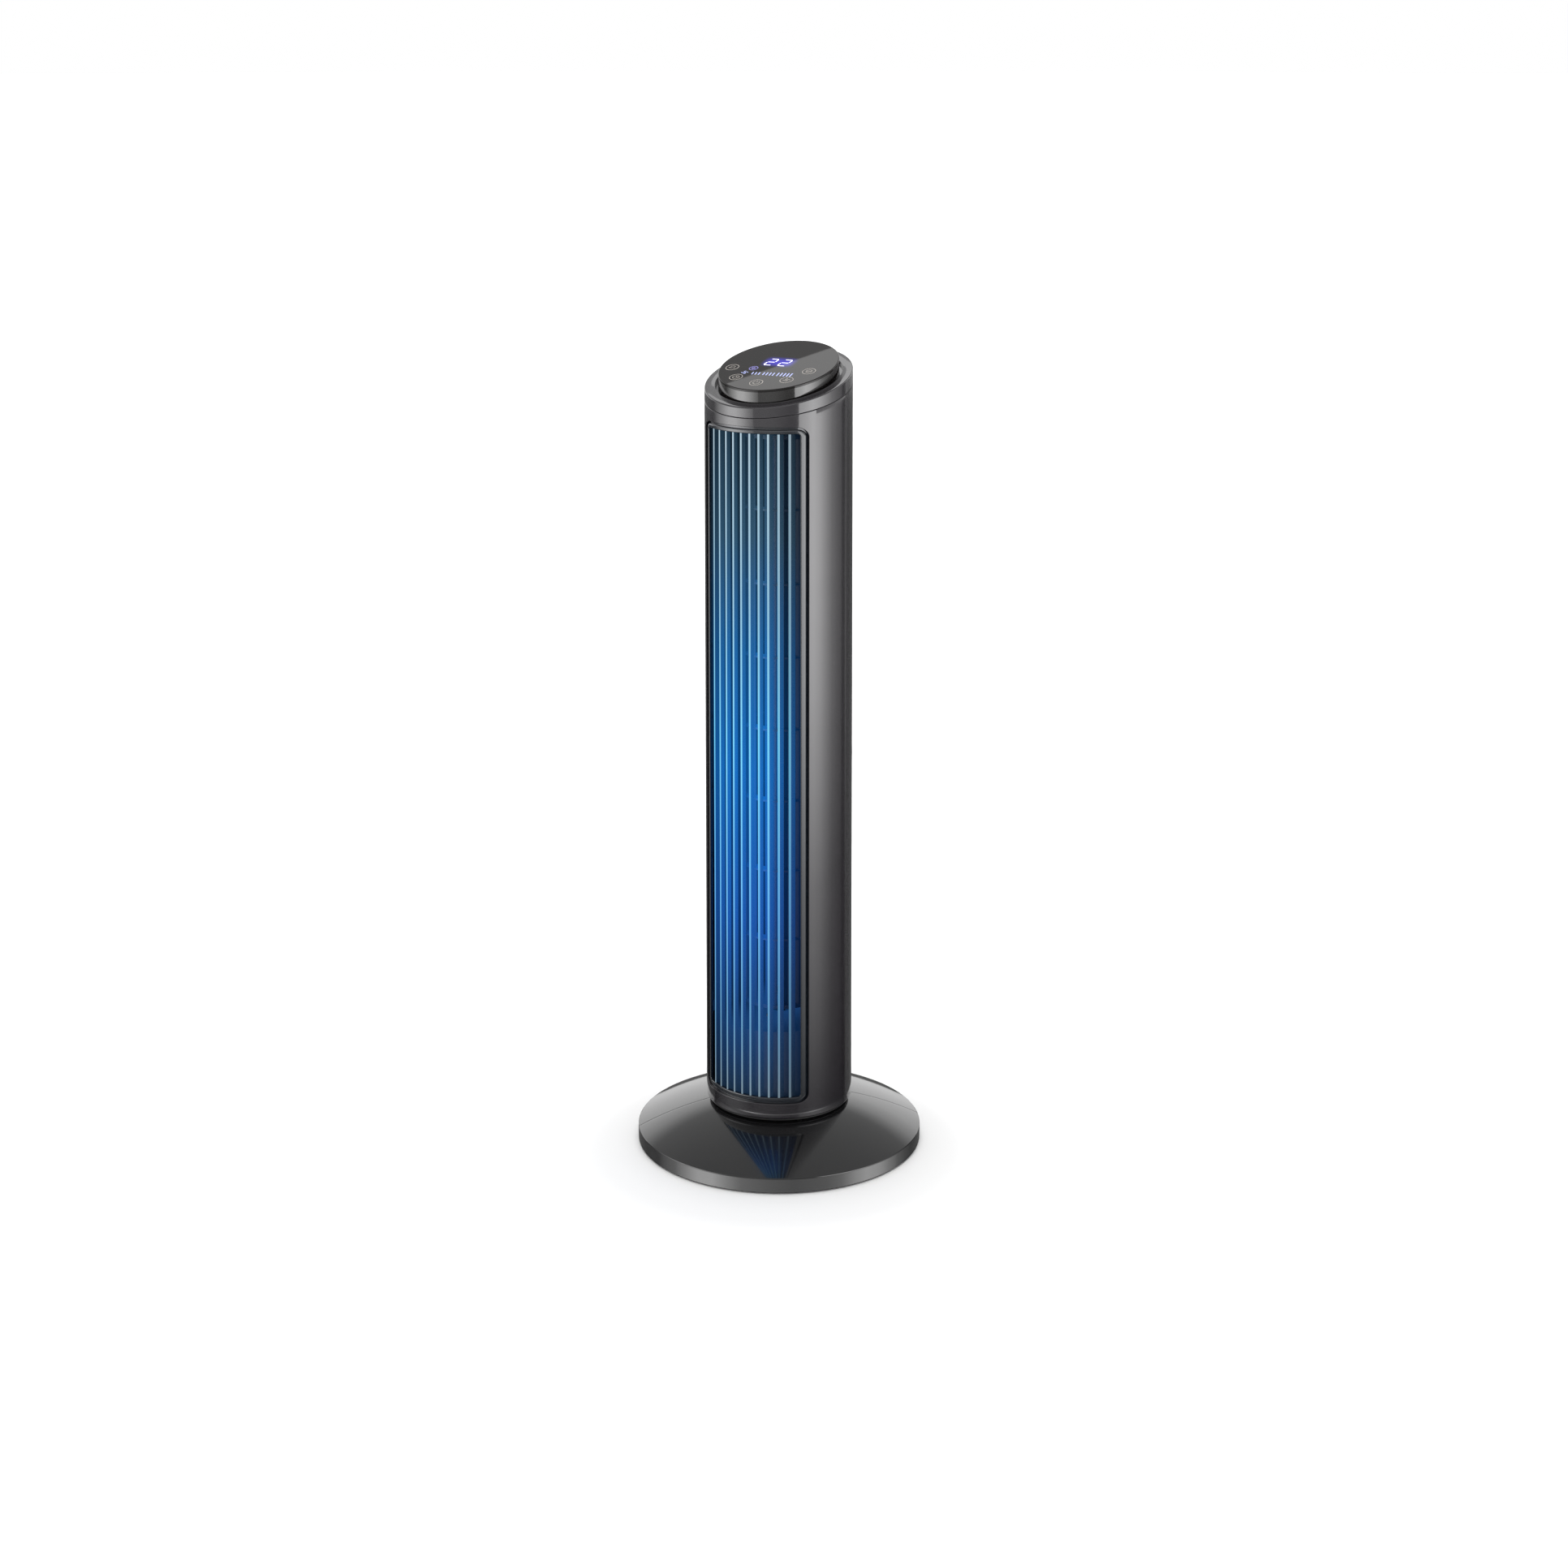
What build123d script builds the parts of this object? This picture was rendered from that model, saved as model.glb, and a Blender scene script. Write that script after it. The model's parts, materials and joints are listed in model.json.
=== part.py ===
from build123d import *
import math
import os

# Tower fan: a weighted round base, a tapering column that swings on it, and a crossflow
# impeller inside the column. Millimetres, +Z up, origin under the middle of the base.
# The column faces -Y at rest, and the base faces base_turn degrees to one side of that.

# ---- Base ----
base_diameter = 320.0
base_rim_height = 18.0        # top of the upright rim
base_dome_rise = 40.0         # how far the dome would rise above the rim at its middle
base_wall = 3.0
base_turn = 33.75             # heading of the base's front from the column's front
base_edge_round = 1.2
base_seam_gap = 0.3
foot_height = 1.5
foot_radius = 7.0
foot_count = 6
rim_flange_width = 20.0       # ledge inside the rim that carries the feet
rim_flange_thickness = 3.0
plate_thickness = 4.0         # weight ring and pedestal flange
plate_bottom_z = 8.0
weight_edge_gap = 2.0         # between the weight ring and the rim's ledge
weight_inner_gap = 4.0        # between the weight ring and the pedestal
boss_radius = 5.0
boss_count_per_ring = 6
boss_screw_grip = 8.0

# ---- Cord gland in the base's rear rim ----
gland_bore_radius = 3.3
gland_body_radius = 4.6
gland_lip_radius = 5.6
gland_lip_thickness = 1.5
gland_centre_z = 10.5
gland_tail = 8.0

# ---- Pedestal and swivel ----
neck_opening_gap = 2.0        # between the neck and the dome's opening
pedestal_flange_width = 20.0
neck_radius = 72.0
neck_wall = 3.0
neck_top_z = 48.5
neck_deck_thickness = 4.0
washer_width = 16.0
washer_edge_gap = 6.0         # washer's edge inside the neck's edge
washer_thickness = 2.5
post_radius = 14.0
post_bore_radius = 8.0
post_shoulder_height = 12.5   # above the neck
post_neck_radius = 12.0
post_tip = 2.0                # post above its lock ring
bush_wall = 3.0
hub_wall = 5.0
running_clearance = 0.05
press_clearance = 0.02
seat_clearance = 0.3

# ---- Column ----
column_bottom_radius = 82.0   # outside radius where the housings end at the bottom
column_top_radius = 78.0      # outside radius at column_top_z
column_top_z = 862.5          # height of the slanted rim on the column's axis
rim_tilt = 16.3               # the slanted rim falls towards the front
column_wall = 2.5
bottom_edge_round = 3.0
bottom_flange_width = 12.0
bottom_flange_thickness = 3.0
bottom_plate_lip = 2.0        # the base plate shows this much under the housings
bottom_plate_step = 0.4       # base plate's edge inside the housings' rounded edge
bottom_plate_thickness = 6.0
countersink_depth = 1.5
cap_seam_z = 848.0            # height of the cap's lower edge on the axis
cap_seam_tilt = 13.9
panel_joint_gap = 0.3
cap_skirt_depth = 6.0
cap_skirt_thickness = 2.0

# ---- Outlet grille ----
outlet_half_angle = 50.5
outlet_low_z = 71.5
outlet_high_z = 820.0
outlet_corner_round = 10.0
grille_gap = 2.4              # groove between the housing's opening and the frame
frame_width = 4.8
frame_thickness = 4.0
frame_inset = 1.0
frame_flange_width = 3.0      # flange behind the housing's wall, round the opening
frame_flange_thickness = 2.0
bar_count = 10                # the bars leave equal gaps across the frame
bar_width = 2.2
bar_depth = 8.0
bar_inset = 2.0

# ---- Intake grille ----
intake_half_angle = 47.0
intake_low_z = 158.0
intake_high_z = 800.0
intake_bar_count = 13
intake_bar_width = 2.0
intake_rib_count = 6
intake_rib_height = 3.0
intake_rib_inset = 1.5        # ribs stand back from the bars' faces

# ---- Housing screws and bosses ----
housing_boss_radius = 4.5
housing_boss_inset = 12.5     # boss centre inside the column's outside
housing_boss_heights = (108.0, 452.0, 795.0)
housing_boss_depth = 14.0
housing_web_thickness = 3.0
blind_end = 2.0
housing_screw_seat_y = 8.0
housing_screw_access_radius = 3.6
screw_radius = 1.5
screw_hole_radius = 1.6
screw_head_radius = 3.0
screw_head_height = 2.0

# ---- Control head ----
panel_radius = 63.5
panel_rise = 12.1             # top of the touch panel above the slanted rim
panel_thickness = 2.5
panel_edge_round = 0.8
trough_outer_radius = 67.0
trough_depth = 4.0
trough_floor = 3.0
trough_wall = 2.0
control_wall = 2.2
control_flange_thickness = 2.0
panel_screw_grip = 2.5
board_thickness = 1.6
board_drop = 9.0              # display board's top face below the panel's underside
board_ledge_width = 8.0
board_ledge_thickness = 2.0
key_ring_radius = 46.7
key_angles = (-74.5, -39.3, 0.0, 39.3, 74.5)
key_pad_radius = 4.5
key_stem_radius = 3.5
key_pad_thickness = 2.0
digit_size = (36.0, 20.0)
digit_centre = (0.0, 6.0)
level_bar_size = (52.0, 7.0)
level_bar_centre = (3.0, -23.0)
receiver_radius = 3.0
receiver_angle = -20.0
microphone_radius = 4.0
microphone_angle = 20.0
sensor_ring_radius = 55.0

# ---- Impeller and fan motor ----
axis_y = 6.0                  # the impeller sits a little behind the column's axis
impeller_radius = 45.0
impeller_length = 638.0
impeller_low_gap = 15.0       # over the lower bulkhead
impeller_high_gap = 8.0       # under the upper bulkhead
shield_thickness = 1.5
impeller_disc_thickness = 4.0
impeller_ring_thickness = 2.0
impeller_ring_count = 7
blade_count = 32
blade_inner_radius = 36.0
blade_thickness = 1.1
blade_sweep_angle = 9.0
blade_bow = 0.18              # share of the blade's chord
shaft_radius = 4.0
shaft_tail = 2.0              # below the motor
hub_radius = 12.0
hub_flange_radius = 17.0
hub_flange_thickness = 3.0
hub_collar = 3.0
motor_low_gap = 18.0          # between the stepper and the fan motor
motor_height = 38.0
motor_radius = 38.0
motor_wall = 2.0
stator_inner_radius = 22.0
stator_height = 20.0
rotor_gap = 0.6
bearing_radius = 9.0
bearing_height = 6.0
mount_radius = 5.0
mount_height = 4.0
mount_ring_radius = 30.0
mount_count = 3
bulkhead_thickness = 3.0
bearing_seat_wall = 2.0
bearing_boss_wall = 3.0

# ---- Air duct ----
duct_wall = 2.0
duct_gap = 5.5                # between the impeller and the middle of the duct's walls
volute_start_angle = 92.0
volute_end_angle = 170.0
duct_mouth_margin_angle = 1.7 # the duct's mouth opens this much past the outlet
duct_mouth_inset = 6.5
tongue_tip_angle = -35.0
tongue_back_angle = 72.5

# ---- Swing drive ----
gear_module = 1.0
gear_teeth = 64
gear_toothed_angle = 130.0
pinion_teeth = 16
gear_thickness = 6.0
pressure_angle = 20.0
addendum_factor = 0.85
dedendum_factor = 1.15
gear_backlash = 0.16
stepper_radius = 14.0
stepper_height = 19.0
stepper_ear_thickness = 1.2
stepper_ear_reach = 7.0
stepper_shaft_radius = 2.5
stepper_shaft_engagement = 3.0
stepper_screw_grip = 5.0
bracket_thickness = 1.5
bracket_leg_radius = 3.5
bracket_gear_gap = 2.5
lock_ring_wall = 6.0
lock_ring_height = 3.0

# ---- Electronics and wiring ----
power_board_size = (72.0, 64.0)    # width, height
power_board_inset = 22.0      # board's front face inside the column's outside
power_board_lift = 5.0        # above the base plate
standoff_radius = 3.0
standoff_edge = 5.0
standoff_screw_grip = 6.0
connector_size = (12.0, 7.0, 8.0)
connector_x = -20.0
wire_radius = 2.4
wire_pass_radius = 4.0
wire_pass_angle = -114.0      # round the column from its front
wire_pass_inset = 12.0
wire_bend_radius = 9.0
wire_top_place = (-36.0, 16.0)

big = 2000.0

# ---- Sizes that follow from the ones above ----
base_radius = base_diameter / 2
dome_radius = (base_radius**2 + base_dome_rise**2) / (2 * base_dome_rise)
dome_crest_z = base_rim_height + base_dome_rise
dome_centre_z = dome_crest_z - dome_radius
plate_top_z = plate_bottom_z + plate_thickness
base_opening_radius = neck_radius + neck_opening_gap
pedestal_flange_radius = neck_radius + pedestal_flange_width
weight_inner_radius = pedestal_flange_radius + weight_inner_gap
weight_outer_radius = base_radius - rim_flange_width - weight_edge_gap
weight_boss_ring = (weight_inner_radius + weight_outer_radius) / 2
pedestal_boss_ring = (neck_radius + pedestal_flange_radius) / 2
post_shoulder_z = neck_top_z + post_shoulder_height
swivel_z = neck_top_z + washer_thickness + running_clearance   # underside of the turning column
housing_bottom_z = swivel_z + bottom_plate_lip
base_plate_top_z = swivel_z + bottom_plate_thickness
pitch_radius_gear = gear_module * gear_teeth / 2
pitch_radius_pinion = gear_module * pinion_teeth / 2
pinion_y = -(pitch_radius_gear + pitch_radius_pinion)
gear_low_z = post_shoulder_z
gear_top_z = gear_low_z + gear_thickness
post_top_z = gear_top_z + lock_ring_height + post_tip
bracket_z = gear_top_z + bracket_gear_gap
bracket_leg_x = stepper_radius + stepper_ear_reach
stepper_low_z = bracket_z + bracket_thickness
motor_low_z = stepper_low_z + stepper_height + motor_low_gap
motor_top_z = motor_low_z + motor_height
lower_bulkhead_z = motor_top_z + mount_height
impeller_low_z = lower_bulkhead_z + bulkhead_thickness + impeller_low_gap
impeller_high_z = impeller_low_z + impeller_length
upper_bulkhead_z = impeller_high_z + impeller_high_gap
volute_radius = impeller_radius + duct_gap
panel_top_z = column_top_z + panel_rise
panel_under_z = panel_top_z - panel_thickness
board_top_z = panel_under_z - board_drop
trough_floor_z = column_top_z - trough_depth
control_flange_top_z = trough_floor_z - trough_floor
control_flange_radius = trough_outer_radius + trough_wall
taper = (column_bottom_radius - column_top_radius) / (column_top_z - housing_bottom_z)
power_board_y = column_bottom_radius - power_board_inset
power_board_low_z = base_plate_top_z + power_board_lift

LOW = (Align.CENTER, Align.CENTER, Align.MIN)
HIGH = (Align.CENTER, Align.CENTER, Align.MAX)


def column_radius(z):
    """Outside radius of the column at height z."""
    return column_bottom_radius - taper * (z - housing_bottom_z)


def rod(radius, low, high, x=0.0, y=0.0):
    """Upright cylinder from low to high."""
    return Pos(x, y, low) * Cylinder(radius, high - low, align=LOW)


def ring(outer, inner, low, high, x=0.0, y=0.0):
    """Upright tube from low to high."""
    return rod(outer, low, high, x, y) - rod(inner, low - 1, high + 1, x, y)


def column_cone(inset, low, high):
    """Solid with the column's taper, inset from its outside."""
    return Pos(0, 0, low) * Cone(
        column_radius(low) - inset, column_radius(high) - inset, high - low, align=LOW
    )


def column_shell(outer_inset, inner_inset, low, high):
    """Wall that follows the column's taper between two insets."""
    return column_cone(outer_inset, low, high) - column_cone(inner_inset, low - 1, high + 1)


def above(axis_z, tilt):
    """Everything above a plane that rises towards the back, at height axis_z on the axis."""
    return Pos(0, 0, axis_z) * Rot(tilt, 0, 0) * Box(big, big, big, align=LOW)


def below(axis_z, tilt):
    """Everything below such a plane."""
    return Pos(0, 0, axis_z) * Rot(tilt, 0, 0) * Box(big, big, big, align=HIGH)


def front_half(gap=0.0):
    return Pos(0, -gap / 2, 0) * Box(big, big, big, align=(Align.CENTER, Align.MAX, Align.CENTER))


def rear_half(gap=0.0):
    return Pos(0, gap / 2, 0) * Box(big, big, big, align=(Align.CENTER, Align.MIN, Align.CENTER))


def polar_place(radius, angle):
    """Plan position at angle degrees round from the front."""
    a = math.radians(angle)
    return radius * math.sin(a), -radius * math.cos(a)


def on_ring(count, radius, start=0.0):
    """Plan positions evenly round a circle, the first at start degrees from the front."""
    return [polar_place(radius, start + 360 * i / count) for i in range(count)]


def screw_up(x, y, head_z, length):
    """Pan-head screw driven upwards, its head's top face at head_z."""
    head = rod(screw_head_radius, head_z - screw_head_height, head_z, x, y)
    return head + rod(screw_radius, head_z, head_z + length, x, y)


def screw_down(x, y, head_z, length):
    """Pan-head screw driven downwards, its head's under face at head_z."""
    head = rod(screw_head_radius, head_z, head_z + screw_head_height, x, y)
    return head + rod(screw_radius, head_z - length, head_z, x, y)


def turned(shape):
    """A base piece drawn facing -Y, turned to the base's heading."""
    return Rot(0, 0, base_turn) * shape


def one(pieces):
    """Several solids as one node's shape."""
    return Compound(children=pieces)


# ---- Base pieces ----

def dome_body(inset, low):
    """The base's rim and dome, inset all over, from low upwards."""
    body = rod(base_radius - inset, low, dome_crest_z + 1)
    return body & Pos(0, 0, dome_centre_z) * Sphere(dome_radius - inset)


def weight_boss_places():
    return on_ring(boss_count_per_ring, weight_boss_ring)


def pedestal_boss_places():
    return on_ring(boss_count_per_ring, pedestal_boss_ring)


def base_shell():
    outer = dome_body(0, foot_height)
    rim_edge = outer.edges().filter_by_position(Axis.Z, base_rim_height - 1, base_rim_height + 1)
    outer = fillet(rim_edge, base_edge_round)
    shell = outer - dome_body(base_wall, foot_height - 1)
    shell += ring(
        base_radius - base_wall / 2,
        base_radius - rim_flange_width,
        foot_height,
        foot_height + rim_flange_thickness,
    )
    roof = Pos(0, 0, dome_centre_z) * Sphere(dome_radius - base_wall / 2)
    for x, y in weight_boss_places() + pedestal_boss_places():
        shell += rod(boss_radius, plate_top_z, dome_crest_z, x, y) & roof
        shell -= rod(screw_hole_radius, plate_top_z - 1, plate_top_z + boss_screw_grip + 1, x, y)
    shell -= rod(base_opening_radius, 0, dome_crest_z + 2)
    gland_hole = Pos(0, 0, gland_centre_z) * Rot(-90, 0, 0) * Cylinder(
        gland_body_radius + press_clearance, base_radius + 1, align=LOW
    )
    return shell - gland_hole


def base_front_shell(shell):
    return turned(shell & front_half(base_seam_gap))


def base_rear_shell(shell):
    return turned(shell & rear_half(base_seam_gap))


def base_weight():
    plate = ring(weight_outer_radius, weight_inner_radius, plate_bottom_z, plate_top_z)
    for x, y in weight_boss_places():
        plate -= rod(screw_hole_radius, 0, plate_top_z + 1, x, y)
    return turned(plate)


def base_feet():
    places = on_ring(foot_count, base_radius - rim_flange_width / 2)
    return one([turned(rod(foot_radius, 0, foot_height, x, y)) for x, y in places])


def base_screws():
    places = weight_boss_places() + pedestal_boss_places()
    length = plate_thickness + boss_screw_grip
    return one([turned(screw_up(x, y, plate_bottom_z, length)) for x, y in places])


def cord_gland():
    inner_face = base_radius - base_wall
    body_start = inner_face - gland_lip_thickness - gland_tail
    along = Pos(0, 0, gland_centre_z) * Rot(-90, 0, 0)
    length = base_radius - 1 - body_start
    body = along * Pos(0, 0, body_start) * Cylinder(gland_body_radius, length, align=LOW)
    lip = along * Pos(0, 0, inner_face - gland_lip_thickness - seat_clearance) * Cylinder(
        gland_lip_radius, gland_lip_thickness, align=LOW
    )
    bore = along * Cylinder(gland_bore_radius, base_radius + 1, align=LOW)
    return turned(body + lip - bore)


def pedestal():
    flange = rod(pedestal_flange_radius, plate_bottom_z, plate_top_z)
    neck = rod(neck_radius, plate_bottom_z, neck_top_z)
    post = rod(post_radius, neck_top_z - 1, post_shoulder_z) + rod(post_neck_radius, neck_top_z, post_top_z)
    body = flange + neck + post
    body -= ring(neck_radius - neck_wall, post_radius, plate_bottom_z - 1, neck_top_z - neck_deck_thickness)
    body -= rod(post_bore_radius, 0, post_top_z + 1)
    for x, y in pedestal_boss_places():
        body -= rod(screw_hole_radius, 0, plate_top_z + 1, x, y)
    return turned(body)


def swivel_washer():
    outer = neck_radius - washer_edge_gap
    return ring(outer, outer - washer_width, neck_top_z, neck_top_z + washer_thickness)


# ---- Swing drive ----

def tooth(teeth, heading, low, high):
    """One involute tooth, pointing along heading degrees from +X, with half the backlash taken off."""
    pitch_radius = gear_module * teeth / 2
    base_circle = pitch_radius * math.cos(math.radians(pressure_angle))
    tip_radius = pitch_radius + addendum_factor * gear_module
    root_radius = pitch_radius - dedendum_factor * gear_module
    involute = math.tan(math.radians(pressure_angle)) - math.radians(pressure_angle)
    half_pitch = math.pi / (2 * teeth) - gear_backlash / (4 * pitch_radius) + involute
    flank = []
    steps = 5
    start = max(base_circle, root_radius)
    for i in range(steps + 1):
        r = start + (tip_radius - start) * i / steps
        a = math.acos(min(1.0, base_circle / r))
        flank.append((r, half_pitch - (math.tan(a) - a)))
    flank.insert(0, (root_radius - gear_module / 2, flank[0][1]))
    polar = [(r, -t) for r, t in flank] + [(r, t) for r, t in reversed(flank)]
    lean = math.radians(heading)
    outline = [(r * math.cos(t + lean), r * math.sin(t + lean)) for r, t in polar]
    face = make_face(Polyline(*outline, close=True))
    return Pos(0, 0, low) * extrude(face, high - low)


def gear_wheel(teeth, headings, low, high):
    root_radius = gear_module * teeth / 2 - dedendum_factor * gear_module
    wheel = rod(root_radius, low, high)
    for heading in headings:
        wheel += tooth(teeth, heading, low, high)
    return wheel


def oscillation_gear():
    """Toothed sector fixed to the post. One tooth points at the pinion at rest."""
    pitch = 360 / gear_teeth
    reach = int(gear_toothed_angle / 2 / pitch)
    middle = round(base_turn / pitch)
    headings = [-90 + pitch * (middle + i) for i in range(-reach, reach + 1)]
    wheel = gear_wheel(gear_teeth, headings, gear_low_z, gear_top_z)
    return wheel - rod(post_neck_radius + press_clearance, gear_low_z - 1, gear_top_z + 1)


def gear_lock_ring():
    outer = post_neck_radius + lock_ring_wall
    return ring(outer, post_neck_radius + press_clearance, gear_top_z, gear_top_z + lock_ring_height)


def oscillation_pinion():
    """Pinion on the stepper's shaft, with a gap between two teeth facing the gear's middle tooth."""
    pitch = 360 / pinion_teeth
    headings = [90 + pitch * (i + 0.5) for i in range(pinion_teeth)]
    wheel = gear_wheel(pinion_teeth, headings, gear_low_z, gear_top_z)
    wheel -= rod(stepper_shaft_radius + press_clearance, gear_low_z - 1, gear_top_z + 1)
    return Pos(0, pinion_y, 0) * wheel


def stepper_shaft():
    return rod(stepper_shaft_radius, gear_low_z, stepper_low_z + stepper_shaft_engagement, 0, pinion_y)


def stepper_bracket():
    outline = SlotCenterToCenter(2 * bracket_leg_x, 4 * bracket_leg_radius)
    body = Pos(0, pinion_y, bracket_z) * extrude(outline, bracket_thickness)
    for x in (-bracket_leg_x, bracket_leg_x):
        body += rod(bracket_leg_radius, base_plate_top_z, stepper_low_z, x, pinion_y)
        body -= rod(screw_hole_radius, stepper_low_z - stepper_screw_grip - 1, stepper_low_z + 1, x, pinion_y)
    return body - rod(stepper_shaft_radius + 1, bracket_z - 1, stepper_low_z + 1, 0, pinion_y)


def stepper_motor():
    low = stepper_low_z
    can = rod(stepper_radius, low, low + stepper_height, 0, pinion_y)
    outline = SlotCenterToCenter(2 * bracket_leg_x, 2 * bracket_leg_radius)
    body = can + Pos(0, pinion_y, low) * extrude(outline, stepper_ear_thickness)
    socket_top = low + stepper_shaft_engagement + blind_end
    body -= rod(stepper_shaft_radius + running_clearance, low - 1, socket_top, 0, pinion_y)
    for x in (-bracket_leg_x, bracket_leg_x):
        body -= rod(screw_hole_radius, low - 1, low + stepper_ear_thickness + 1, x, pinion_y)
    return body


def stepper_screws():
    seat = stepper_low_z + stepper_ear_thickness
    length = stepper_ear_thickness + stepper_screw_grip
    return one([screw_down(x, pinion_y, seat, length) for x in (-bracket_leg_x, bracket_leg_x)])


# ---- Column foot ----

def column_base_plate():
    lip_radius = column_bottom_radius - bottom_edge_round - bottom_plate_step
    lip = rod(lip_radius, swivel_z, housing_bottom_z)
    inner = column_radius(housing_bottom_z) - bottom_flange_width - seat_clearance
    plate = lip + rod(inner, swivel_z, base_plate_top_z)
    plate += rod(post_radius + bush_wall + hub_wall, swivel_z, post_shoulder_z - seat_clearance)
    plate -= rod(post_radius + bush_wall + press_clearance, 0, post_shoulder_z + 1)
    for x, y in foot_screw_places():
        plate -= rod(screw_hole_radius, 0, base_plate_top_z + 1, x, y)
        plate -= Pos(x, y, swivel_z) * countersink(screw_hole_radius, screw_head_radius + press_clearance)
    return plate


def foot_screw_places():
    return on_ring(4, column_bottom_radius - (bottom_flange_width + column_wall) / 2, 45)


def countersink(small, large):
    """Cone of a countersunk head, its wide end down."""
    return Cone(large, small, countersink_depth, align=LOW)


def swivel_bush():
    outer = post_radius + bush_wall
    return ring(outer, post_radius + running_clearance, swivel_z, post_shoulder_z - seat_clearance)


def base_plate_screws():
    """Countersunk from below, flush with the plate's underside."""
    screws = []
    for x, y in foot_screw_places():
        shank = rod(screw_radius, swivel_z, housing_bottom_z + bottom_flange_thickness, x, y)
        screws.append(shank + Pos(x, y, swivel_z) * countersink(screw_radius, screw_head_radius))
    return one(screws)


# ---- Housings ----

def opening_face(half_angle, low, high, shrink, corner):
    """Trapezium on the XZ plane whose sides keep one angle round the tapering column."""
    sine = math.sin(math.radians(half_angle))
    low_half = column_radius(low) * sine - shrink
    high_half = column_radius(high) * sine - shrink
    outline = Polyline(
        (-low_half, low + shrink),
        (low_half, low + shrink),
        (high_half, high - shrink),
        (-high_half, high - shrink),
        close=True,
    )
    face = make_face(outline)
    return fillet(face.vertices(), corner)


def through(face, side):
    """A face on the XZ plane carried through the front (side -1) or rear (side 1) of the column."""
    return extrude(Plane.XZ * face, -side * column_bottom_radius * 1.2)


def opening_block(half_angle, low, high, shrink, corner, side):
    return through(opening_face(half_angle, low, high, shrink, corner), side)


def housing_tube():
    """Both housings as one tube, before it is split."""
    high = column_top_z + column_bottom_radius
    outer = column_cone(0, housing_bottom_z, high)
    outer = fillet(outer.edges().filter_by(GeomType.CIRCLE).sort_by(Axis.Z)[0], bottom_edge_round)
    tube = outer - column_cone(column_wall, housing_bottom_z + bottom_flange_thickness, high + 1)
    tube -= rod(column_radius(housing_bottom_z) - bottom_flange_width, 0, high)
    tube = tube & below(cap_seam_z, cap_seam_tilt)
    for x, y in foot_screw_places():
        tube -= rod(screw_hole_radius, 0, housing_bottom_z + bottom_flange_thickness + 1, x, y)
    return tube


def along_y(radius, start, end, x, z):
    """Cylinder lying along Y from start to end."""
    return Pos(x, start, z) * Rot(-90, 0, 0) * Cylinder(radius, end - start, align=LOW)


def front_housing(tube):
    shell = tube & front_half(panel_joint_gap)
    shell -= opening_block(
        outlet_half_angle, outlet_low_z, outlet_high_z, 0, outlet_corner_round, -1
    )
    core = column_cone(column_wall / 2, housing_bottom_z, column_top_z)
    for x, z in housing_boss_places():
        boss = along_y(housing_boss_radius, -housing_boss_depth, -panel_joint_gap / 2, x, z)
        shell += (boss + boss_web(x, z, -1)) & core
        shell -= along_y(screw_hole_radius, blind_end - housing_boss_depth, 1, x, z)
    return shell


def housing_boss_places():
    """Where the screws that join the two housings lie, as (x, z)."""
    return [
        (side * (column_radius(z) - housing_boss_inset), z) for side in (-1, 1) for z in housing_boss_heights
    ]


def boss_web(x, z, side):
    """Rib that ties a boss at (x, z) to the housing's wall, on the front (-1) or rear (1) side."""
    reach = math.copysign(housing_boss_inset, x)
    web = Box(housing_boss_inset, housing_boss_depth, housing_web_thickness)
    return Pos(x + reach / 2, side * (housing_boss_depth + panel_joint_gap) / 2, z) * web


def rear_housing(tube):
    shell = tube & rear_half(panel_joint_gap)
    shell -= opening_block(
        intake_half_angle, intake_low_z, intake_high_z, 0, outlet_corner_round, 1
    )
    core = column_cone(column_wall / 2, housing_bottom_z, column_top_z)
    for x, z in housing_boss_places():
        boss = along_y(housing_boss_radius, panel_joint_gap / 2, column_bottom_radius, x, z)
        shell += (boss + boss_web(x, z, 1)) & core
        shell -= along_y(screw_hole_radius, -1, column_bottom_radius, x, z)
        shell -= along_y(housing_screw_access_radius, housing_screw_seat_y, column_bottom_radius, x, z)
    for x, z in standoff_places():
        shell += along_y(standoff_radius, power_board_y + board_thickness, column_bottom_radius, x, z) & core
        shell -= along_y(screw_hole_radius, power_board_y, power_board_y + standoff_screw_grip + 1, x, z)
    return shell


def housing_screws():
    screws = []
    for x, z in housing_boss_places():
        head_end = housing_screw_seat_y + screw_head_height
        head = along_y(screw_head_radius, housing_screw_seat_y, head_end, x, z)
        tip = 1 + blind_end - housing_boss_depth
        screws.append(head + along_y(screw_radius, tip, housing_screw_seat_y, x, z))
    return one(screws)


def grille_layer(face, front, back, side):
    """A face carried through the column, kept between two insets from its outside."""
    layer = column_shell(front, back, outlet_low_z - outlet_corner_round, outlet_high_z + outlet_corner_round)
    return through(face, side) & layer


def grille_frame(half_angle, low, high, side):
    """Frame that shows in the opening, with a flange behind the housing's wall."""
    inner = opening_face(half_angle, low, high, grille_gap + frame_width, outlet_corner_round / 2)
    rail = opening_face(half_angle, low, high, grille_gap, outlet_corner_round - grille_gap) - inner
    flange_corner = outlet_corner_round + frame_flange_width
    flange = opening_face(half_angle, low, high, -frame_flange_width, flange_corner) - inner
    back = column_wall + seat_clearance
    frame = grille_layer(rail, frame_inset, frame_inset + frame_thickness, side)
    return frame + grille_layer(flange, back, back + frame_flange_thickness, side)


def bar_pitch(half_angle, z, count, width):
    """Spacing at height z that leaves equal gaps between the bars and beside the frame."""
    half_opening = column_radius(z) * math.sin(math.radians(half_angle))
    return (2 * (half_opening - grille_gap - frame_width) + width) / (count + 1)


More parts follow.
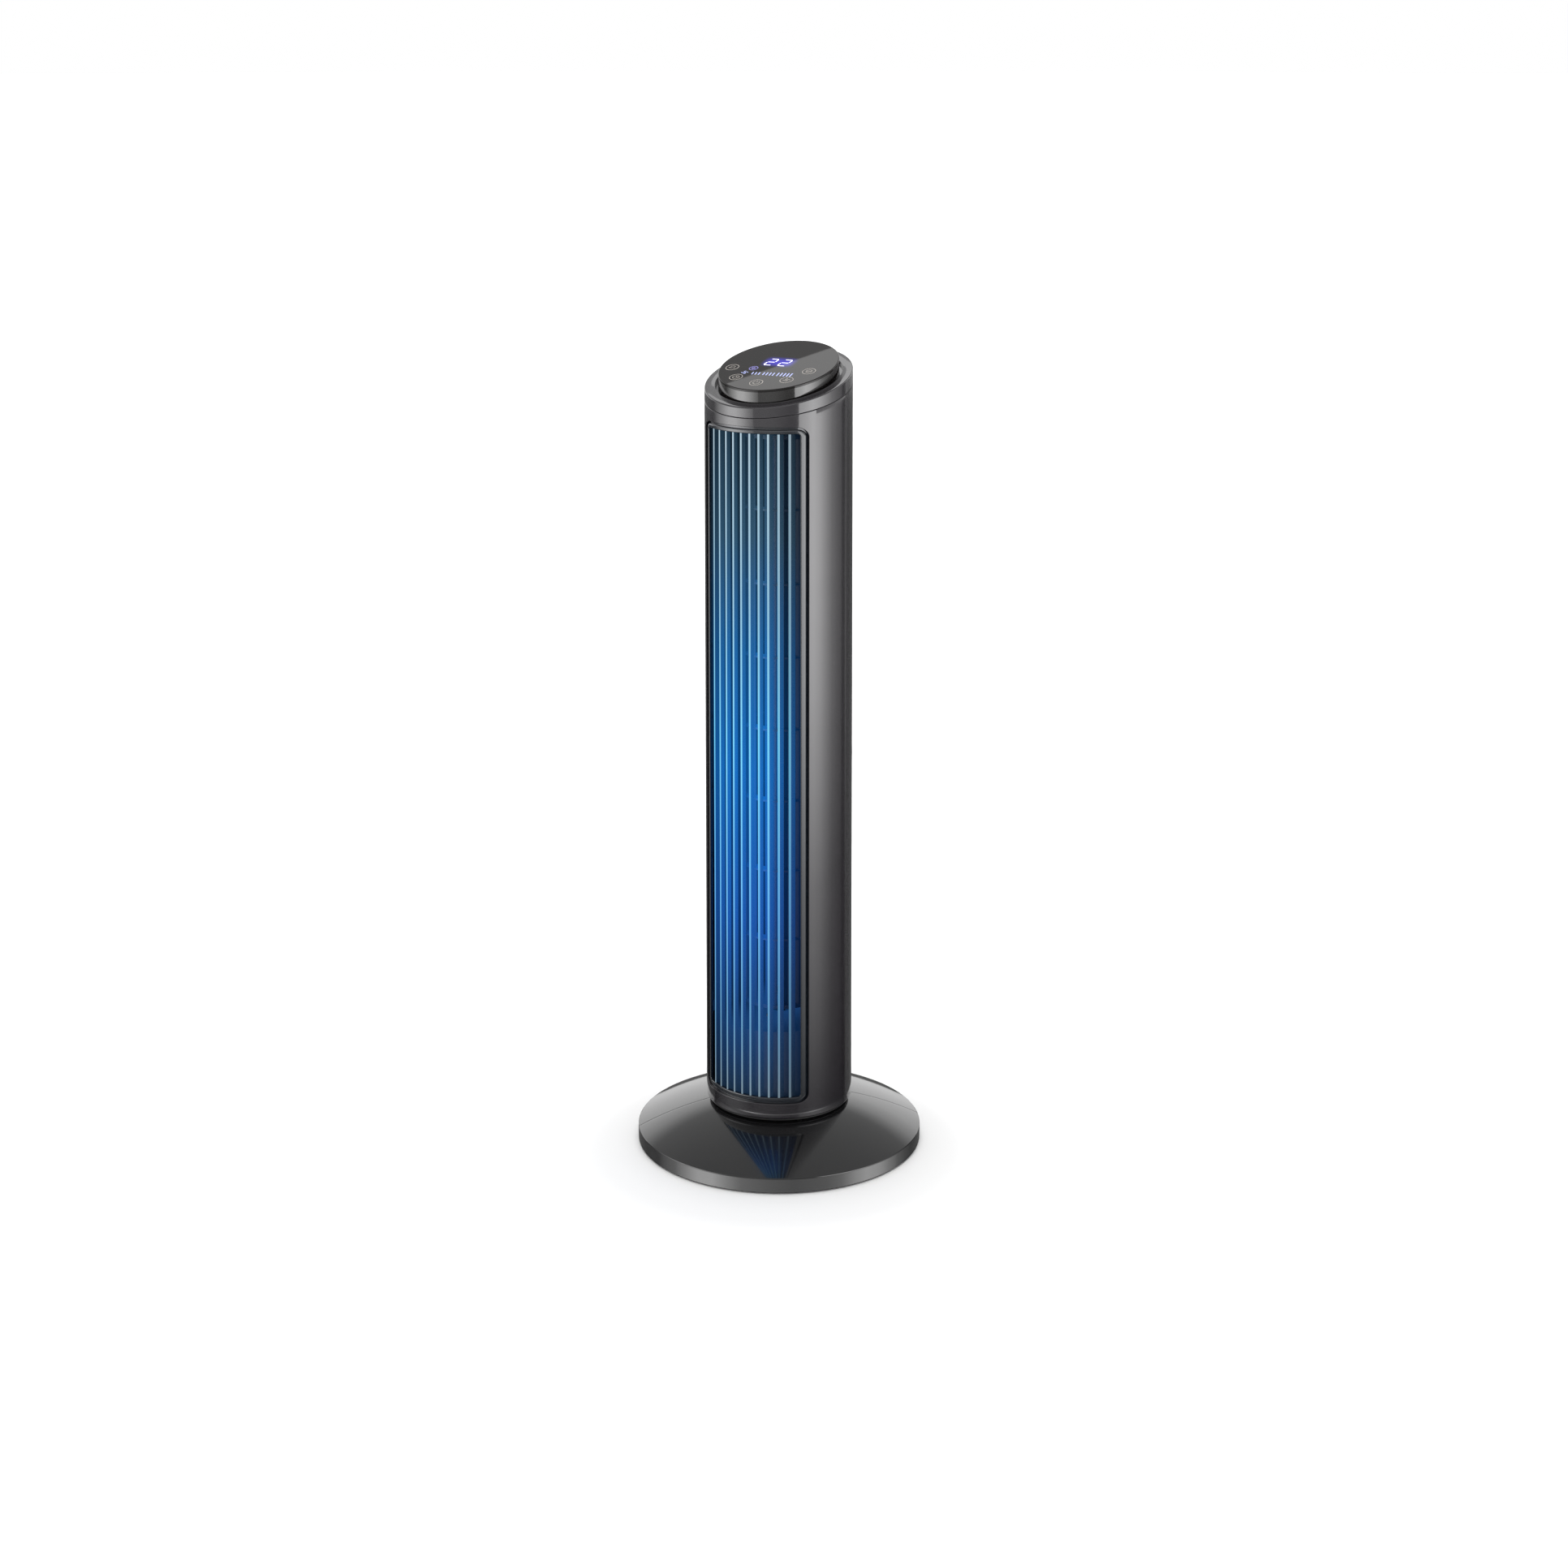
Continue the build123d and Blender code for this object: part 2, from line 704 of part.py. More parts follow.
def bar_face(place, half_angle, count, width, low, high):
    """Outline of the bar that stands place pitches from the middle of the tapering grille."""
    half = width / 2
    low_x = place * bar_pitch(half_angle, low, count, width)
    high_x = place * bar_pitch(half_angle, high, count, width)
    corners = [(low_x - half, low), (low_x + half, low), (high_x + half, high), (high_x - half, high)]
    return make_face(Polyline(*corners, close=True))


def grille(half_angle, low, high, count, width, side):
    """Frame and upright bars, which end in the middle of the frame's rails."""
    frame = grille_frame(half_angle, low, high, side)
    overlap = grille_gap + frame_width / 2
    for i in range(count):
        bar = bar_face(i - (count - 1) / 2, half_angle, count, width, low + overlap, high - overlap)
        frame += grille_layer(bar, bar_inset, bar_inset + bar_depth, side)
    return frame


def outlet_grille():
    return grille(outlet_half_angle, outlet_low_z, outlet_high_z, bar_count, bar_width, -1)


def intake_grille():
    """Rear grille, with ribs across that stand back from the bars' faces."""
    low, high = intake_low_z, intake_high_z
    body = grille(intake_half_angle, low, high, intake_bar_count, intake_bar_width, 1)
    overlap = grille_gap + frame_width / 2
    front, back = bar_inset + intake_rib_inset, bar_inset + bar_depth - intake_rib_inset
    for i in range(1, intake_rib_count + 1):
        z = low + (high - low) * i / (intake_rib_count + 1)
        half = column_radius(z) * math.sin(math.radians(intake_half_angle)) - overlap
        rib = Pos(0, z) * Rectangle(2 * half, intake_rib_height)
        body += grille_layer(rib, front, back, 1)
    return body


# ---- Control head ----

def slanted_layer(solid, low_z, high_z, tilt):
    """The part of a solid between two parallel slanted planes."""
    return solid & above(low_z, tilt) & below(high_z, tilt)


def top_cap():
    """Rim, trough and outer wall, with a skirt that plugs into the housings."""
    low = cap_seam_z - column_bottom_radius
    high = column_top_z + column_bottom_radius
    seam = cap_seam_z + panel_joint_gap
    body = column_cone(0, low, high) & below(column_top_z, rim_tilt) & above(seam, cap_seam_tilt)
    inside = column_cone(column_wall, low - 1, high + 1)
    body -= inside & below(control_flange_top_z, rim_tilt)
    rim_hollow = inside - rod(control_flange_radius, low - 1, high + 1)
    body -= rim_hollow & below(column_top_z - column_wall, rim_tilt)
    inset = column_wall + seat_clearance
    root = column_shell(column_wall / 2, inset + cap_skirt_thickness, low, high)
    body += slanted_layer(root, seam, seam + cap_skirt_thickness, cap_seam_tilt)
    skirt = column_shell(inset, inset + cap_skirt_thickness, low, high)
    body += slanted_layer(skirt, seam - cap_skirt_depth, seam + cap_skirt_thickness, cap_seam_tilt)
    body -= rod(trough_outer_radius, low, high) & above(trough_floor_z, rim_tilt)
    body -= rod(panel_radius + seat_clearance, low, high)
    screw_top = control_flange_top_z + panel_screw_grip
    for x, y in panel_screw_places():
        body -= rod(screw_hole_radius, low, high, x, y) & below(screw_top, rim_tilt)
    return body


def panel_screw_places():
    middle = (control_flange_radius + panel_radius) / 2
    return on_ring(4, middle, 45)


def control_housing():
    """Round cup under the touch panel, with a flange that is screwed to the cap from below."""
    low = column_top_z - column_bottom_radius
    high = column_top_z + column_bottom_radius
    foot = control_flange_top_z - control_flange_thickness
    body = slanted_layer(rod(panel_radius, low, high), foot, panel_under_z, rim_tilt)
    body += slanted_layer(rod(control_flange_radius, low, high), foot, control_flange_top_z, rim_tilt)
    inner = panel_radius - control_wall
    body -= rod(inner, low, high)
    ledge = ring(inner + control_wall / 2, inner - board_ledge_width, low, high)
    ledge_top = board_top_z - board_thickness
    body += slanted_layer(ledge, ledge_top - board_ledge_thickness, ledge_top, rim_tilt)
    for x, y in panel_screw_places():
        body -= rod(screw_hole_radius, low, high, x, y)
    return body


def tilted_block(size, centre, low_z, high_z):
    """Block with a rectangular plan between two slanted planes."""
    block = Pos(*centre, column_top_z) * Box(*size, big / 4)
    return slanted_layer(block, low_z, high_z, rim_tilt)


def tilted_disc(radius, x, y, low_z, high_z):
    """Round upright piece between two slanted planes."""
    column = rod(radius, column_top_z - column_bottom_radius, column_top_z + column_bottom_radius, x, y)
    return slanted_layer(column, low_z, high_z, rim_tilt)


def touch_panel():
    disc = tilted_disc(panel_radius, 0, 0, panel_under_z, panel_top_z)
    top_edge = disc.faces().sort_by(Axis.Z)[-1].outer_wire().edges()
    return fillet(top_edge, panel_edge_round)


def display_board():
    radius = panel_radius - control_wall - seat_clearance
    return tilted_disc(radius, 0, 0, board_top_z - board_thickness, board_top_z)


def digit_display():
    return tilted_block(digit_size, digit_centre, board_top_z, panel_under_z)


def level_light_bar():
    return tilted_block(level_bar_size, level_bar_centre, board_top_z, panel_under_z)


def touch_pads():
    pads = []
    for angle in key_angles:
        x, y = polar_place(key_ring_radius, angle)
        stem = tilted_disc(key_stem_radius, x, y, board_top_z, panel_under_z)
        head = tilted_disc(key_pad_radius, x, y, panel_under_z - key_pad_thickness, panel_under_z)
        pads.append(stem + head)
    return one(pads)


def sensor(radius, angle):
    """Round capsule on the display board that reaches up to the panel."""
    x, y = polar_place(sensor_ring_radius, angle)
    return tilted_disc(radius, x, y, board_top_z, panel_under_z - seat_clearance)


def remote_receiver():
    return sensor(receiver_radius, receiver_angle)


def voice_microphone():
    return sensor(microphone_radius, microphone_angle)


def panel_screws():
    """Driven up through the control housing's flange into the cap."""
    screws = []
    for x, y in panel_screw_places():
        slope = math.tan(math.radians(rim_tilt))
        under = control_flange_top_z - control_flange_thickness + y * slope
        head_z = under - screw_head_radius * slope
        screws.append(screw_up(x, y, head_z, control_flange_thickness + panel_screw_grip))
    return one(screws)


# ---- Bulkheads, duct and impeller ----

def grille_back(low, high):
    """Everything further out than the outlet grille's back, over the width of its flange."""
    band = column_shell(0, bar_inset + bar_depth + seat_clearance, low, high)
    reach = outlet_high_z - outlet_low_z
    low_end, high_end = outlet_low_z - reach, outlet_high_z + reach
    clearance = frame_flange_width + seat_clearance
    return band & opening_block(outlet_half_angle, low_end, high_end, -clearance, 1, -1)


def motor_shield():
    """Curved screen behind the outlet grille that hides the motor compartment."""
    low = housing_bottom_z + bottom_flange_thickness
    inset = bar_inset + bar_depth + seat_clearance
    wall = column_shell(inset, inset + shield_thickness, low, lower_bulkhead_z)
    return wall & opening_block(outlet_half_angle, low - 10, lower_bulkhead_z + 10, 0, 1, -1)


def bulkhead(z):
    plate = column_cone(column_wall + seat_clearance, z, z + bulkhead_thickness)
    plate -= grille_back(z - 1, z + bulkhead_thickness + 1)
    return plate - rod(wire_pass_radius, z - 1, z + bulkhead_thickness + 1, *wire_pass())


def lower_bulkhead():
    plate = bulkhead(lower_bulkhead_z)
    plate -= rod(hub_radius, 0, lower_bulkhead_z + bulkhead_thickness + 1, 0, axis_y)
    for x, y in on_ring(mount_count, mount_ring_radius):
        plate -= rod(screw_hole_radius, 0, lower_bulkhead_z + bulkhead_thickness + 1, x, y + axis_y)
    return plate


def upper_bulkhead():
    plate = bulkhead(upper_bulkhead_z)
    seat = bearing_radius + bearing_seat_wall
    top = upper_bulkhead_z + bearing_height
    plate += rod(seat + bearing_boss_wall, upper_bulkhead_z, top + blind_end, 0, axis_y)
    return plate - rod(seat + press_clearance, upper_bulkhead_z - 1, top, 0, axis_y)


def bearing_seat():
    outer = bearing_radius + bearing_seat_wall
    inner = bearing_radius + press_clearance
    return ring(outer, inner, upper_bulkhead_z, upper_bulkhead_z + bearing_height, 0, axis_y)


def bearing(low):
    return ring(bearing_radius, shaft_radius + running_clearance, low, low + bearing_height, 0, axis_y)


def top_bearing():
    return bearing(upper_bulkhead_z)


def duct_slab(start, end, low, high):
    """Upright wall with rounded ends between two plan points."""
    dx, dy = end[0] - start[0], end[1] - start[1]
    slot = SlotCenterToCenter(math.hypot(dx, dy), duct_wall)
    middle = Pos((start[0] + end[0]) / 2, (start[1] + end[1]) / 2, low)
    return middle * Rot(0, 0, math.degrees(math.atan2(dy, dx))) * extrude(slot, high - low)


def duct_span():
    return lower_bulkhead_z + bulkhead_thickness, upper_bulkhead_z


def duct_mouth(side):
    """Where the duct's left (-1) or right (1) wall ends, beside the outlet."""
    angle = outlet_half_angle + duct_mouth_margin_angle
    return polar_place(column_top_radius - duct_mouth_inset, side * angle)


def duct_volute():
    """Guide wall that wraps the impeller's left and runs on to the outlet."""
    low, high = duct_span()
    middle = (volute_start_angle + volute_end_angle) / 2
    half = math.radians(volute_end_angle - volute_start_angle) / 2
    wrap = ring(volute_radius + duct_wall / 2, volute_radius - duct_wall / 2, low, high, 0, axis_y)
    reach = 2 * volute_radius
    wedge = make_face(
        Polyline(
            (0, 0),
            (reach * math.cos(half), reach * math.sin(half)),
            (reach * 1.5, 0),
            (reach * math.cos(half), -reach * math.sin(half)),
            close=True,
        )
    )
    wrap = wrap & Pos(0, axis_y, low) * Rot(0, 0, middle) * extrude(wedge, high - low)
    end = math.radians(volute_end_angle)
    start = (volute_radius * math.cos(end), axis_y + volute_radius * math.sin(end))
    return wrap + duct_slab(start, duct_mouth(-1), low, high)


def duct_tongue():
    """Cut-off wall on the impeller's right, folded at its tip."""
    low, high = duct_span()
    a = math.radians(tongue_tip_angle)
    tip = (volute_radius * math.cos(a), axis_y + volute_radius * math.sin(a))
    back_radius = column_radius(high) - column_wall - duct_wall / 2 - seat_clearance
    back = polar_place(back_radius, tongue_back_angle)
    return duct_slab(duct_mouth(1), tip, low, high) + duct_slab(tip, back, low, high)


def blade_face(heading):
    """Curved blade between the inner and outer circles, at heading degrees."""
    half = blade_thickness / 2
    a0, a1 = math.radians(heading), math.radians(heading + blade_sweep_angle)
    inner = Vector(blade_inner_radius * math.cos(a0), blade_inner_radius * math.sin(a0))
    outer = Vector((impeller_radius - 1) * math.cos(a1), (impeller_radius - 1) * math.sin(a1))
    middle = (inner + outer) / 2
    across = Vector(-(outer - inner).Y, (outer - inner).X).normalized()
    bow = middle - across * (outer - inner).length * blade_bow
    sides = [
        ThreePointArc(inner + across * half, bow + across * half, outer + across * half),
        Line(outer + across * half, outer - across * half),
        ThreePointArc(outer - across * half, bow - across * half, inner - across * half),
        Line(inner - across * half, inner + across * half),
    ]
    return make_face(sides)


def impeller():
    low, high = impeller_low_z, impeller_high_z
    parts = [extrude(blade_face(360 * i / blade_count), high - low) for i in range(blade_count)]
    blades = [Pos(0, 0, low) * blade for blade in parts]
    wheel = rod(impeller_radius, low, low + impeller_disc_thickness)
    wheel += rod(impeller_radius, high - impeller_disc_thickness, high)
    for i in range(1, impeller_ring_count + 1):
        z = low + (high - low) * i / (impeller_ring_count + 1)
        wheel += ring(impeller_radius, blade_inner_radius - 2, z, z + impeller_ring_thickness)
    wheel = wheel + blades
    wheel -= rod(hub_radius + press_clearance, low - 1, low + impeller_disc_thickness + 1)
    wheel -= rod(shaft_radius + press_clearance, high - impeller_disc_thickness - 1, high + 1)
    return Pos(0, axis_y, 0) * wheel


def impeller_hub():
    flange_low = impeller_low_z - hub_flange_thickness
    hub_top = impeller_low_z + impeller_disc_thickness + hub_collar
    body = rod(hub_flange_radius, flange_low, impeller_low_z, 0, axis_y)
    body += rod(hub_radius, flange_low - hub_collar, hub_top, 0, axis_y)
    return body - rod(shaft_radius + press_clearance, 0, big, 0, axis_y)


def impeller_top_pin():
    """Stub axle with a collar that rests under the impeller's top disc."""
    low = impeller_high_z - impeller_disc_thickness - hub_collar
    pin = rod(shaft_radius, low, upper_bulkhead_z + bearing_height - 1, 0, axis_y)
    return pin + rod(hub_radius, low, impeller_high_z - impeller_disc_thickness, 0, axis_y)


def motor_shaft():
    top = impeller_low_z + impeller_disc_thickness
    return rod(shaft_radius, motor_low_z - shaft_tail, top, 0, axis_y)


def motor_rotor():
    low = motor_low_z + motor_height / 2 - stator_height / 2 - 1
    outer = stator_inner_radius - rotor_gap
    return ring(outer, shaft_radius + press_clearance, low, low + stator_height + 2, 0, axis_y)


def motor_stator():
    low = motor_low_z + motor_height / 2 - stator_height / 2
    outer = motor_radius - motor_wall - press_clearance
    return ring(outer, stator_inner_radius, low, low + stator_height, 0, axis_y)


def motor_housing():
    cup = rod(motor_radius, motor_low_z, motor_top_z - motor_wall, 0, axis_y)
    cup -= rod(motor_radius - motor_wall, motor_low_z + motor_wall, motor_top_z, 0, axis_y)
    cup += rod(bearing_radius + bearing_seat_wall, motor_low_z, motor_low_z + bearing_height, 0, axis_y)
    return cup - rod(bearing_radius + press_clearance, 0, motor_low_z + bearing_height + 1, 0, axis_y)


def motor_cover():
    low = motor_top_z - motor_wall
    cover = rod(motor_radius, low, motor_top_z, 0, axis_y)
    cover += rod(bearing_radius + bearing_seat_wall, motor_top_z - bearing_height, motor_top_z, 0, axis_y)
    cover -= rod(bearing_radius + press_clearance, 0, motor_top_z + 1, 0, axis_y)
    for x, y in on_ring(mount_count, mount_ring_radius):
        cover -= rod(screw_hole_radius, low - 1, motor_top_z + 1, x, y + axis_y)
    return cover


def motor_bearings():
    return one([bearing(motor_low_z), bearing(motor_top_z - bearing_height)])


def motor_mounts():
    """Rubber spacers between the motor's cover and the lower bulkhead."""
    mounts = []
    for x, y in on_ring(mount_count, mount_ring_radius):
        mounts.append(ring(mount_radius, screw_hole_radius, motor_top_z, lower_bulkhead_z, x, y + axis_y))
    return one(mounts)


def motor_screws():
    top = lower_bulkhead_z + bulkhead_thickness
    length = top - motor_top_z + motor_wall + 1
    return one([screw_down(x, y + axis_y, top, length) for x, y in on_ring(mount_count, mount_ring_radius)])


# ---- Electronics ----

def standoff_places():
    width, height = power_board_size
    x = width / 2 - standoff_edge
    heights = (power_board_low_z + standoff_edge, power_board_low_z + height - standoff_edge)
    return [(side * x, z) for z in heights for side in (-1, 1)]


def power_board():
    width, height = power_board_size
    board = Pos(0, power_board_y, power_board_low_z) * Box(
        width, board_thickness, height, align=(Align.CENTER, Align.MIN, Align.MIN)
    )
    for x, z in standoff_places():
        board -= along_y(screw_hole_radius, power_board_y - 1, power_board_y + 3, x, z)
    return board


def power_board_screws():
    screws = []
    for x, z in standoff_places():
        head = along_y(screw_head_radius, power_board_y - screw_head_height, power_board_y, x, z)
        shank = along_y(screw_radius, power_board_y, power_board_y + standoff_screw_grip, x, z)
        screws.append(head + shank)
    return one(screws)


def power_board_parts():
    """Transformer, capacitor, relay and wire connector on the board's front face."""
    middle = power_board_low_z + power_board_size[1] / 2
    transformer = board_block(-12, middle - 8, (22, 13, 18))
    capacitor = along_y(6, power_board_y - 13, power_board_y, 12, middle - 8)
    relay = board_block(12, middle + 8, (16, 12, 12))
    connector = board_block(connector_x, connector_middle_z(), connector_size)
    return one([transformer, capacitor, relay, connector])


def board_block(x, z, size):
    """Block of (width, depth, height) that stands on the power board's front face."""
    return Pos(x, power_board_y, z) * Box(*size, align=(Align.CENTER, Align.MAX, Align.CENTER))


def connector_middle_z():
    return power_board_low_z + power_board_size[1] - 2 * standoff_edge


def wire_start():
    """Where the harness leaves the power board's connector."""
    width, depth, height = connector_size
    return connector_x, power_board_y - depth / 2, connector_middle_z() + height / 2


def wire_pass():
    """Plan place where the harness runs up beside the duct."""
    return polar_place(column_top_radius - column_wall - wire_pass_inset, wire_pass_angle)


def wire_harness():
    """Lead from the power board up the side of the duct to the display board."""
    x0, y0, z0 = wire_start()
    x1, y1 = wire_pass()
    x2, y2 = wire_top_place
    board_under = board_top_z - board_thickness + (y2 - wire_radius) * math.tan(math.radians(rim_tilt))
    path = FilletPolyline(
        (x0, y0, z0),
        (x0, y0, z0 + wire_bend_radius + 1),
        (x1, y1, lower_bulkhead_z - wire_bend_radius),
        (x1, y1, upper_bulkhead_z + 1.5 * wire_bend_radius),
        (x2, y2, board_under - 2.5 * wire_bend_radius),
        (x2, y2, board_under),
        radius=wire_bend_radius,
    )
    section = Plane(origin=(x0, y0, z0), z_dir=(0, 0, 1)) * Circle(wire_radius)
    return sweep(section, path=path)


def build():
    shell = base_shell()
    tube = housing_tube()
    return {
        "base_front_shell": base_front_shell(shell),
        "base_rear_shell": base_rear_shell(shell),
        "base_weight": base_weight(),
        "base_feet": base_feet(),
        "base_screws": base_screws(),
        "cord_gland": cord_gland(),
        "pedestal": pedestal(),
        "swivel_washer": swivel_washer(),
        "oscillation_gear": oscillation_gear(),
        "gear_lock_ring": gear_lock_ring(),
        "column_base_plate": column_base_plate(),
        "swivel_bush": swivel_bush(),
        "base_plate_screws": base_plate_screws(),
        "front_housing": front_housing(tube),
        "rear_housing": rear_housing(tube),
        "housing_screws": housing_screws(),
        "outlet_grille": outlet_grille(),
        "intake_grille": intake_grille(),
        "top_cap": top_cap(),
        "control_housing": control_housing(),
        "touch_panel": touch_panel(),
        "display_board": display_board(),
        "digit_display": digit_display(),
        "level_light_bar": level_light_bar(),
        "touch_pads": touch_pads(),
        "remote_receiver": remote_receiver(),
        "voice_microphone": voice_microphone(),
        "panel_screws": panel_screws(),
        "stepper_bracket": stepper_bracket(),
        "stepper_motor": stepper_motor(),
        "stepper_screws": stepper_screws(),
        "motor_shield": motor_shield(),
        "lower_bulkhead": lower_bulkhead(),
        "upper_bulkhead": upper_bulkhead(),
        "bearing_seat": bearing_seat(),
        "top_bearing": top_bearing(),
        "duct_volute": duct_volute(),
        "duct_tongue": duct_tongue(),
        "motor_housing": motor_housing(),
        "motor_cover": motor_cover(),
        "motor_stator": motor_stator(),
        "motor_bearings": motor_bearings(),
        "motor_mounts": motor_mounts(),
        "motor_screws": motor_screws(),
        "power_board": power_board(),
        "power_board_parts": power_board_parts(),
        "power_board_screws": power_board_screws(),
        "wire_harness": wire_harness(),
        "impeller": impeller(),
        "impeller_hub": impeller_hub(),
        "impeller_top_pin": impeller_top_pin(),
        "motor_shaft": motor_shaft(),
        "motor_rotor": motor_rotor(),
        "oscillation_pinion": oscillation_pinion(),
        "stepper_shaft": stepper_shaft(),
    }


os.makedirs("parts", exist_ok=True)
for name, shape in build().items():
    export_step(shape, f"parts/{name}.step")
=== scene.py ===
import json
import math
import bmesh
import bpy
import numpy as np
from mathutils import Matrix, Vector

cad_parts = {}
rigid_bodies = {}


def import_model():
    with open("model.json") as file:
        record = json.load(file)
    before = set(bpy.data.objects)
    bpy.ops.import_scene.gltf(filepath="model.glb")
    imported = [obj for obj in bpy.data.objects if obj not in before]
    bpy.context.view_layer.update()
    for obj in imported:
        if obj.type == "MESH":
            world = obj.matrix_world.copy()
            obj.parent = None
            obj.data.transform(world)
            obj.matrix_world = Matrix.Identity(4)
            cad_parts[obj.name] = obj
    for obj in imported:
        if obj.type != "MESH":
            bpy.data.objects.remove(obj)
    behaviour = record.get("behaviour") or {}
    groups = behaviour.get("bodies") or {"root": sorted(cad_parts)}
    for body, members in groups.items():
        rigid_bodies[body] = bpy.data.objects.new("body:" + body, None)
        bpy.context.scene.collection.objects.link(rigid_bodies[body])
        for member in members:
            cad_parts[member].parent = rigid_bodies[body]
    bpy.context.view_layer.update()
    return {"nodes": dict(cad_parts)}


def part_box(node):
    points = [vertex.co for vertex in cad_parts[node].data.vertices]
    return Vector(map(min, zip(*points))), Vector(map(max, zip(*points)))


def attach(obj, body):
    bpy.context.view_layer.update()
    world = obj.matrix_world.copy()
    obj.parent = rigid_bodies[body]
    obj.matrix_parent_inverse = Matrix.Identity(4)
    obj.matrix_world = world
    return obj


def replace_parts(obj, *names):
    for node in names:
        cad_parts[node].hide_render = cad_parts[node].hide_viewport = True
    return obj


for leftover in list(bpy.data.objects):
    bpy.data.objects.remove(leftover)
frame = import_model()
nodes = frame["nodes"]
print("frame loaded:", len(nodes), "nodes")


# ---- shader maths ----
class Wire:
    # wraps an output socket, or a plain number, so that sums and products become Math nodes
    def __init__(self, tree, socket):
        self.tree = tree
        self.socket = socket

    def join(self, operation, first, second=0.0):
        return self.tree.node("ShaderNodeMath", {"operation": operation}, {0: first, 1: second})

    def __add__(self, other):
        return self.join("ADD", self, other)

    def __sub__(self, other):
        return self.join("SUBTRACT", self, other)

    def __rsub__(self, other):
        return self.join("SUBTRACT", other, self)

    def __mul__(self, other):
        return self.join("MULTIPLY", self, other)

    def __rmul__(self, other):
        return self.join("MULTIPLY", other, self)

    def __truediv__(self, other):
        return self.join("DIVIDE", self, other)

    def size(self):
        return self.join("ABSOLUTE", self)

    def root(self):
        return self.join("SQRT", self)

    def ramp(self, low, high, fromValue=0.0, toValue=1.0):
        # runs smoothly from one value to another as this one goes from low to high
        return self.tree.node("ShaderNodeMapRange", {"interpolation_type": "SMOOTHSTEP", "clamp": True},
                              {"Value": self, "From Min": low, "From Max": high,
                               "To Min": fromValue, "To Max": toValue})


class Tree:
    # builds a material's or the world's nodes
    def __init__(self, nodeTree):
        self.nodes = nodeTree.nodes
        self.links = nodeTree.links
        self.nodes.clear()

    def node(self, kind, settings=None, sockets=None, output=0):
        made = self.nodes.new(kind)
        for name, value in (settings or {}).items():
            if name == "stops":
                while len(made.color_ramp.elements) < len(value):
                    made.color_ramp.elements.new(1.0)
                for element, (place, colour) in zip(made.color_ramp.elements, value):
                    element.position = place
                    element.color = (*colour, 1.0)
            else:
                setattr(made, name, value)
        for name, value in (sockets or {}).items():
            target = made.inputs[name]
            if isinstance(value, Wire):
                self.links.new(value.socket, target)
            elif isinstance(value, tuple) and len(value) == 3 and target.type == "RGBA":
                target.default_value = (*value, 1.0)
            else:
                target.default_value = value
        return Wire(self, made.outputs[output]) if made.outputs else None

    def mix(self, factor, first, second, blend="MIX"):
        return self.node("ShaderNodeMix", {"data_type": "RGBA", "blend_type": blend},
                         {0: factor, 6: first, 7: second}, 2)

    def place(self, holder=None):
        # object coordinates in millimetres, of the piece itself or of another
        where = self.node("ShaderNodeTexCoord", {"object": holder}, output=3)
        return self.node("ShaderNodeMapping", {"vector_type": "TEXTURE"},
                         {"Vector": where, "Scale": (0.001, 0.001, 0.001)})

    def parts(self, vector):
        split = self.nodes.new("ShaderNodeSeparateXYZ")
        self.links.new(vector.socket, split.inputs[0])
        return [Wire(self, split.outputs[i]) for i in range(3)]

    def noise(self, vector, scale, detail):
        return self.node("ShaderNodeTexNoise", None,
                         {"Vector": vector, "Scale": scale, "Detail": detail, "Roughness": 0.55})

    def bump(self, height, strength):
        return self.node("ShaderNodeBump", None,
                         {"Height": height, "Strength": strength, "Distance": mottle["bumpHeight"]})


def linear(code):
    # display colour code to the linear values that shaders take
    raw = [int(code[i:i + 2], 16) / 255.0 for i in (1, 3, 5)]
    return tuple(c / 12.92 if c <= 0.04045 else ((c + 0.055) / 1.055) ** 2.4 for c in raw)


mottle = dict(vary=0.06, cloudScale=0.035, fineScale=1.6, coatRough=0.03, leastRough=0.005, bumpHeight=0.0002)


def material(name, base, bump=0.05, rough=0.4, roughVary=0.06, metal=0.0, coat=0.0, ior=1.5,
             glow=None, light=None):
    # mottled base colour, roughness and a fine bump, all from noise on object coordinates;
    # glow: makes the colour that the surface sends out; light: an even colour and its strength
    made = bpy.data.materials.new(name)
    made.use_nodes = True
    tree = Tree(made.node_tree)
    where = tree.place()
    cloud = tree.noise(where, mottle["cloudScale"], 3.0)
    fine = tree.noise(where, mottle["fineScale"], 4.0)
    low = tuple(c * (1.0 - mottle["vary"]) for c in linear(base))
    high = tuple(min(1.0, c * (1.0 + mottle["vary"])) for c in linear(base))
    colour = tree.mix(cloud.ramp(0.3, 0.7), low, high)
    smoothest, roughest = max(mottle["leastRough"], rough - roughVary), min(1.0, rough + roughVary)
    roughness = fine.ramp(0.25, 0.75, smoothest, roughest)
    sockets = {"Base Color": colour, "Roughness": roughness, "Metallic": metal, "IOR": ior,
               "Normal": tree.bump(fine, bump)}
    if coat:
        sockets["Coat Weight"] = coat
        sockets["Coat Roughness"] = mottle["coatRough"]
    if glow:
        sockets["Emission Color"] = glow(tree)
        sockets["Emission Strength"] = 1.0
    if light:
        sockets["Emission Color"] = linear(light[0])
        sockets["Emission Strength"] = light[1]
    shader = tree.node("ShaderNodeBsdfPrincipled", None, sockets)
    tree.node("ShaderNodeOutputMaterial", None, {"Surface": shader})
    return made


# ---- finishes of the CAD nodes ----
outletLow, outletHigh = 72.0, 820.0    # heights between which the outlet's painted glow runs, mm
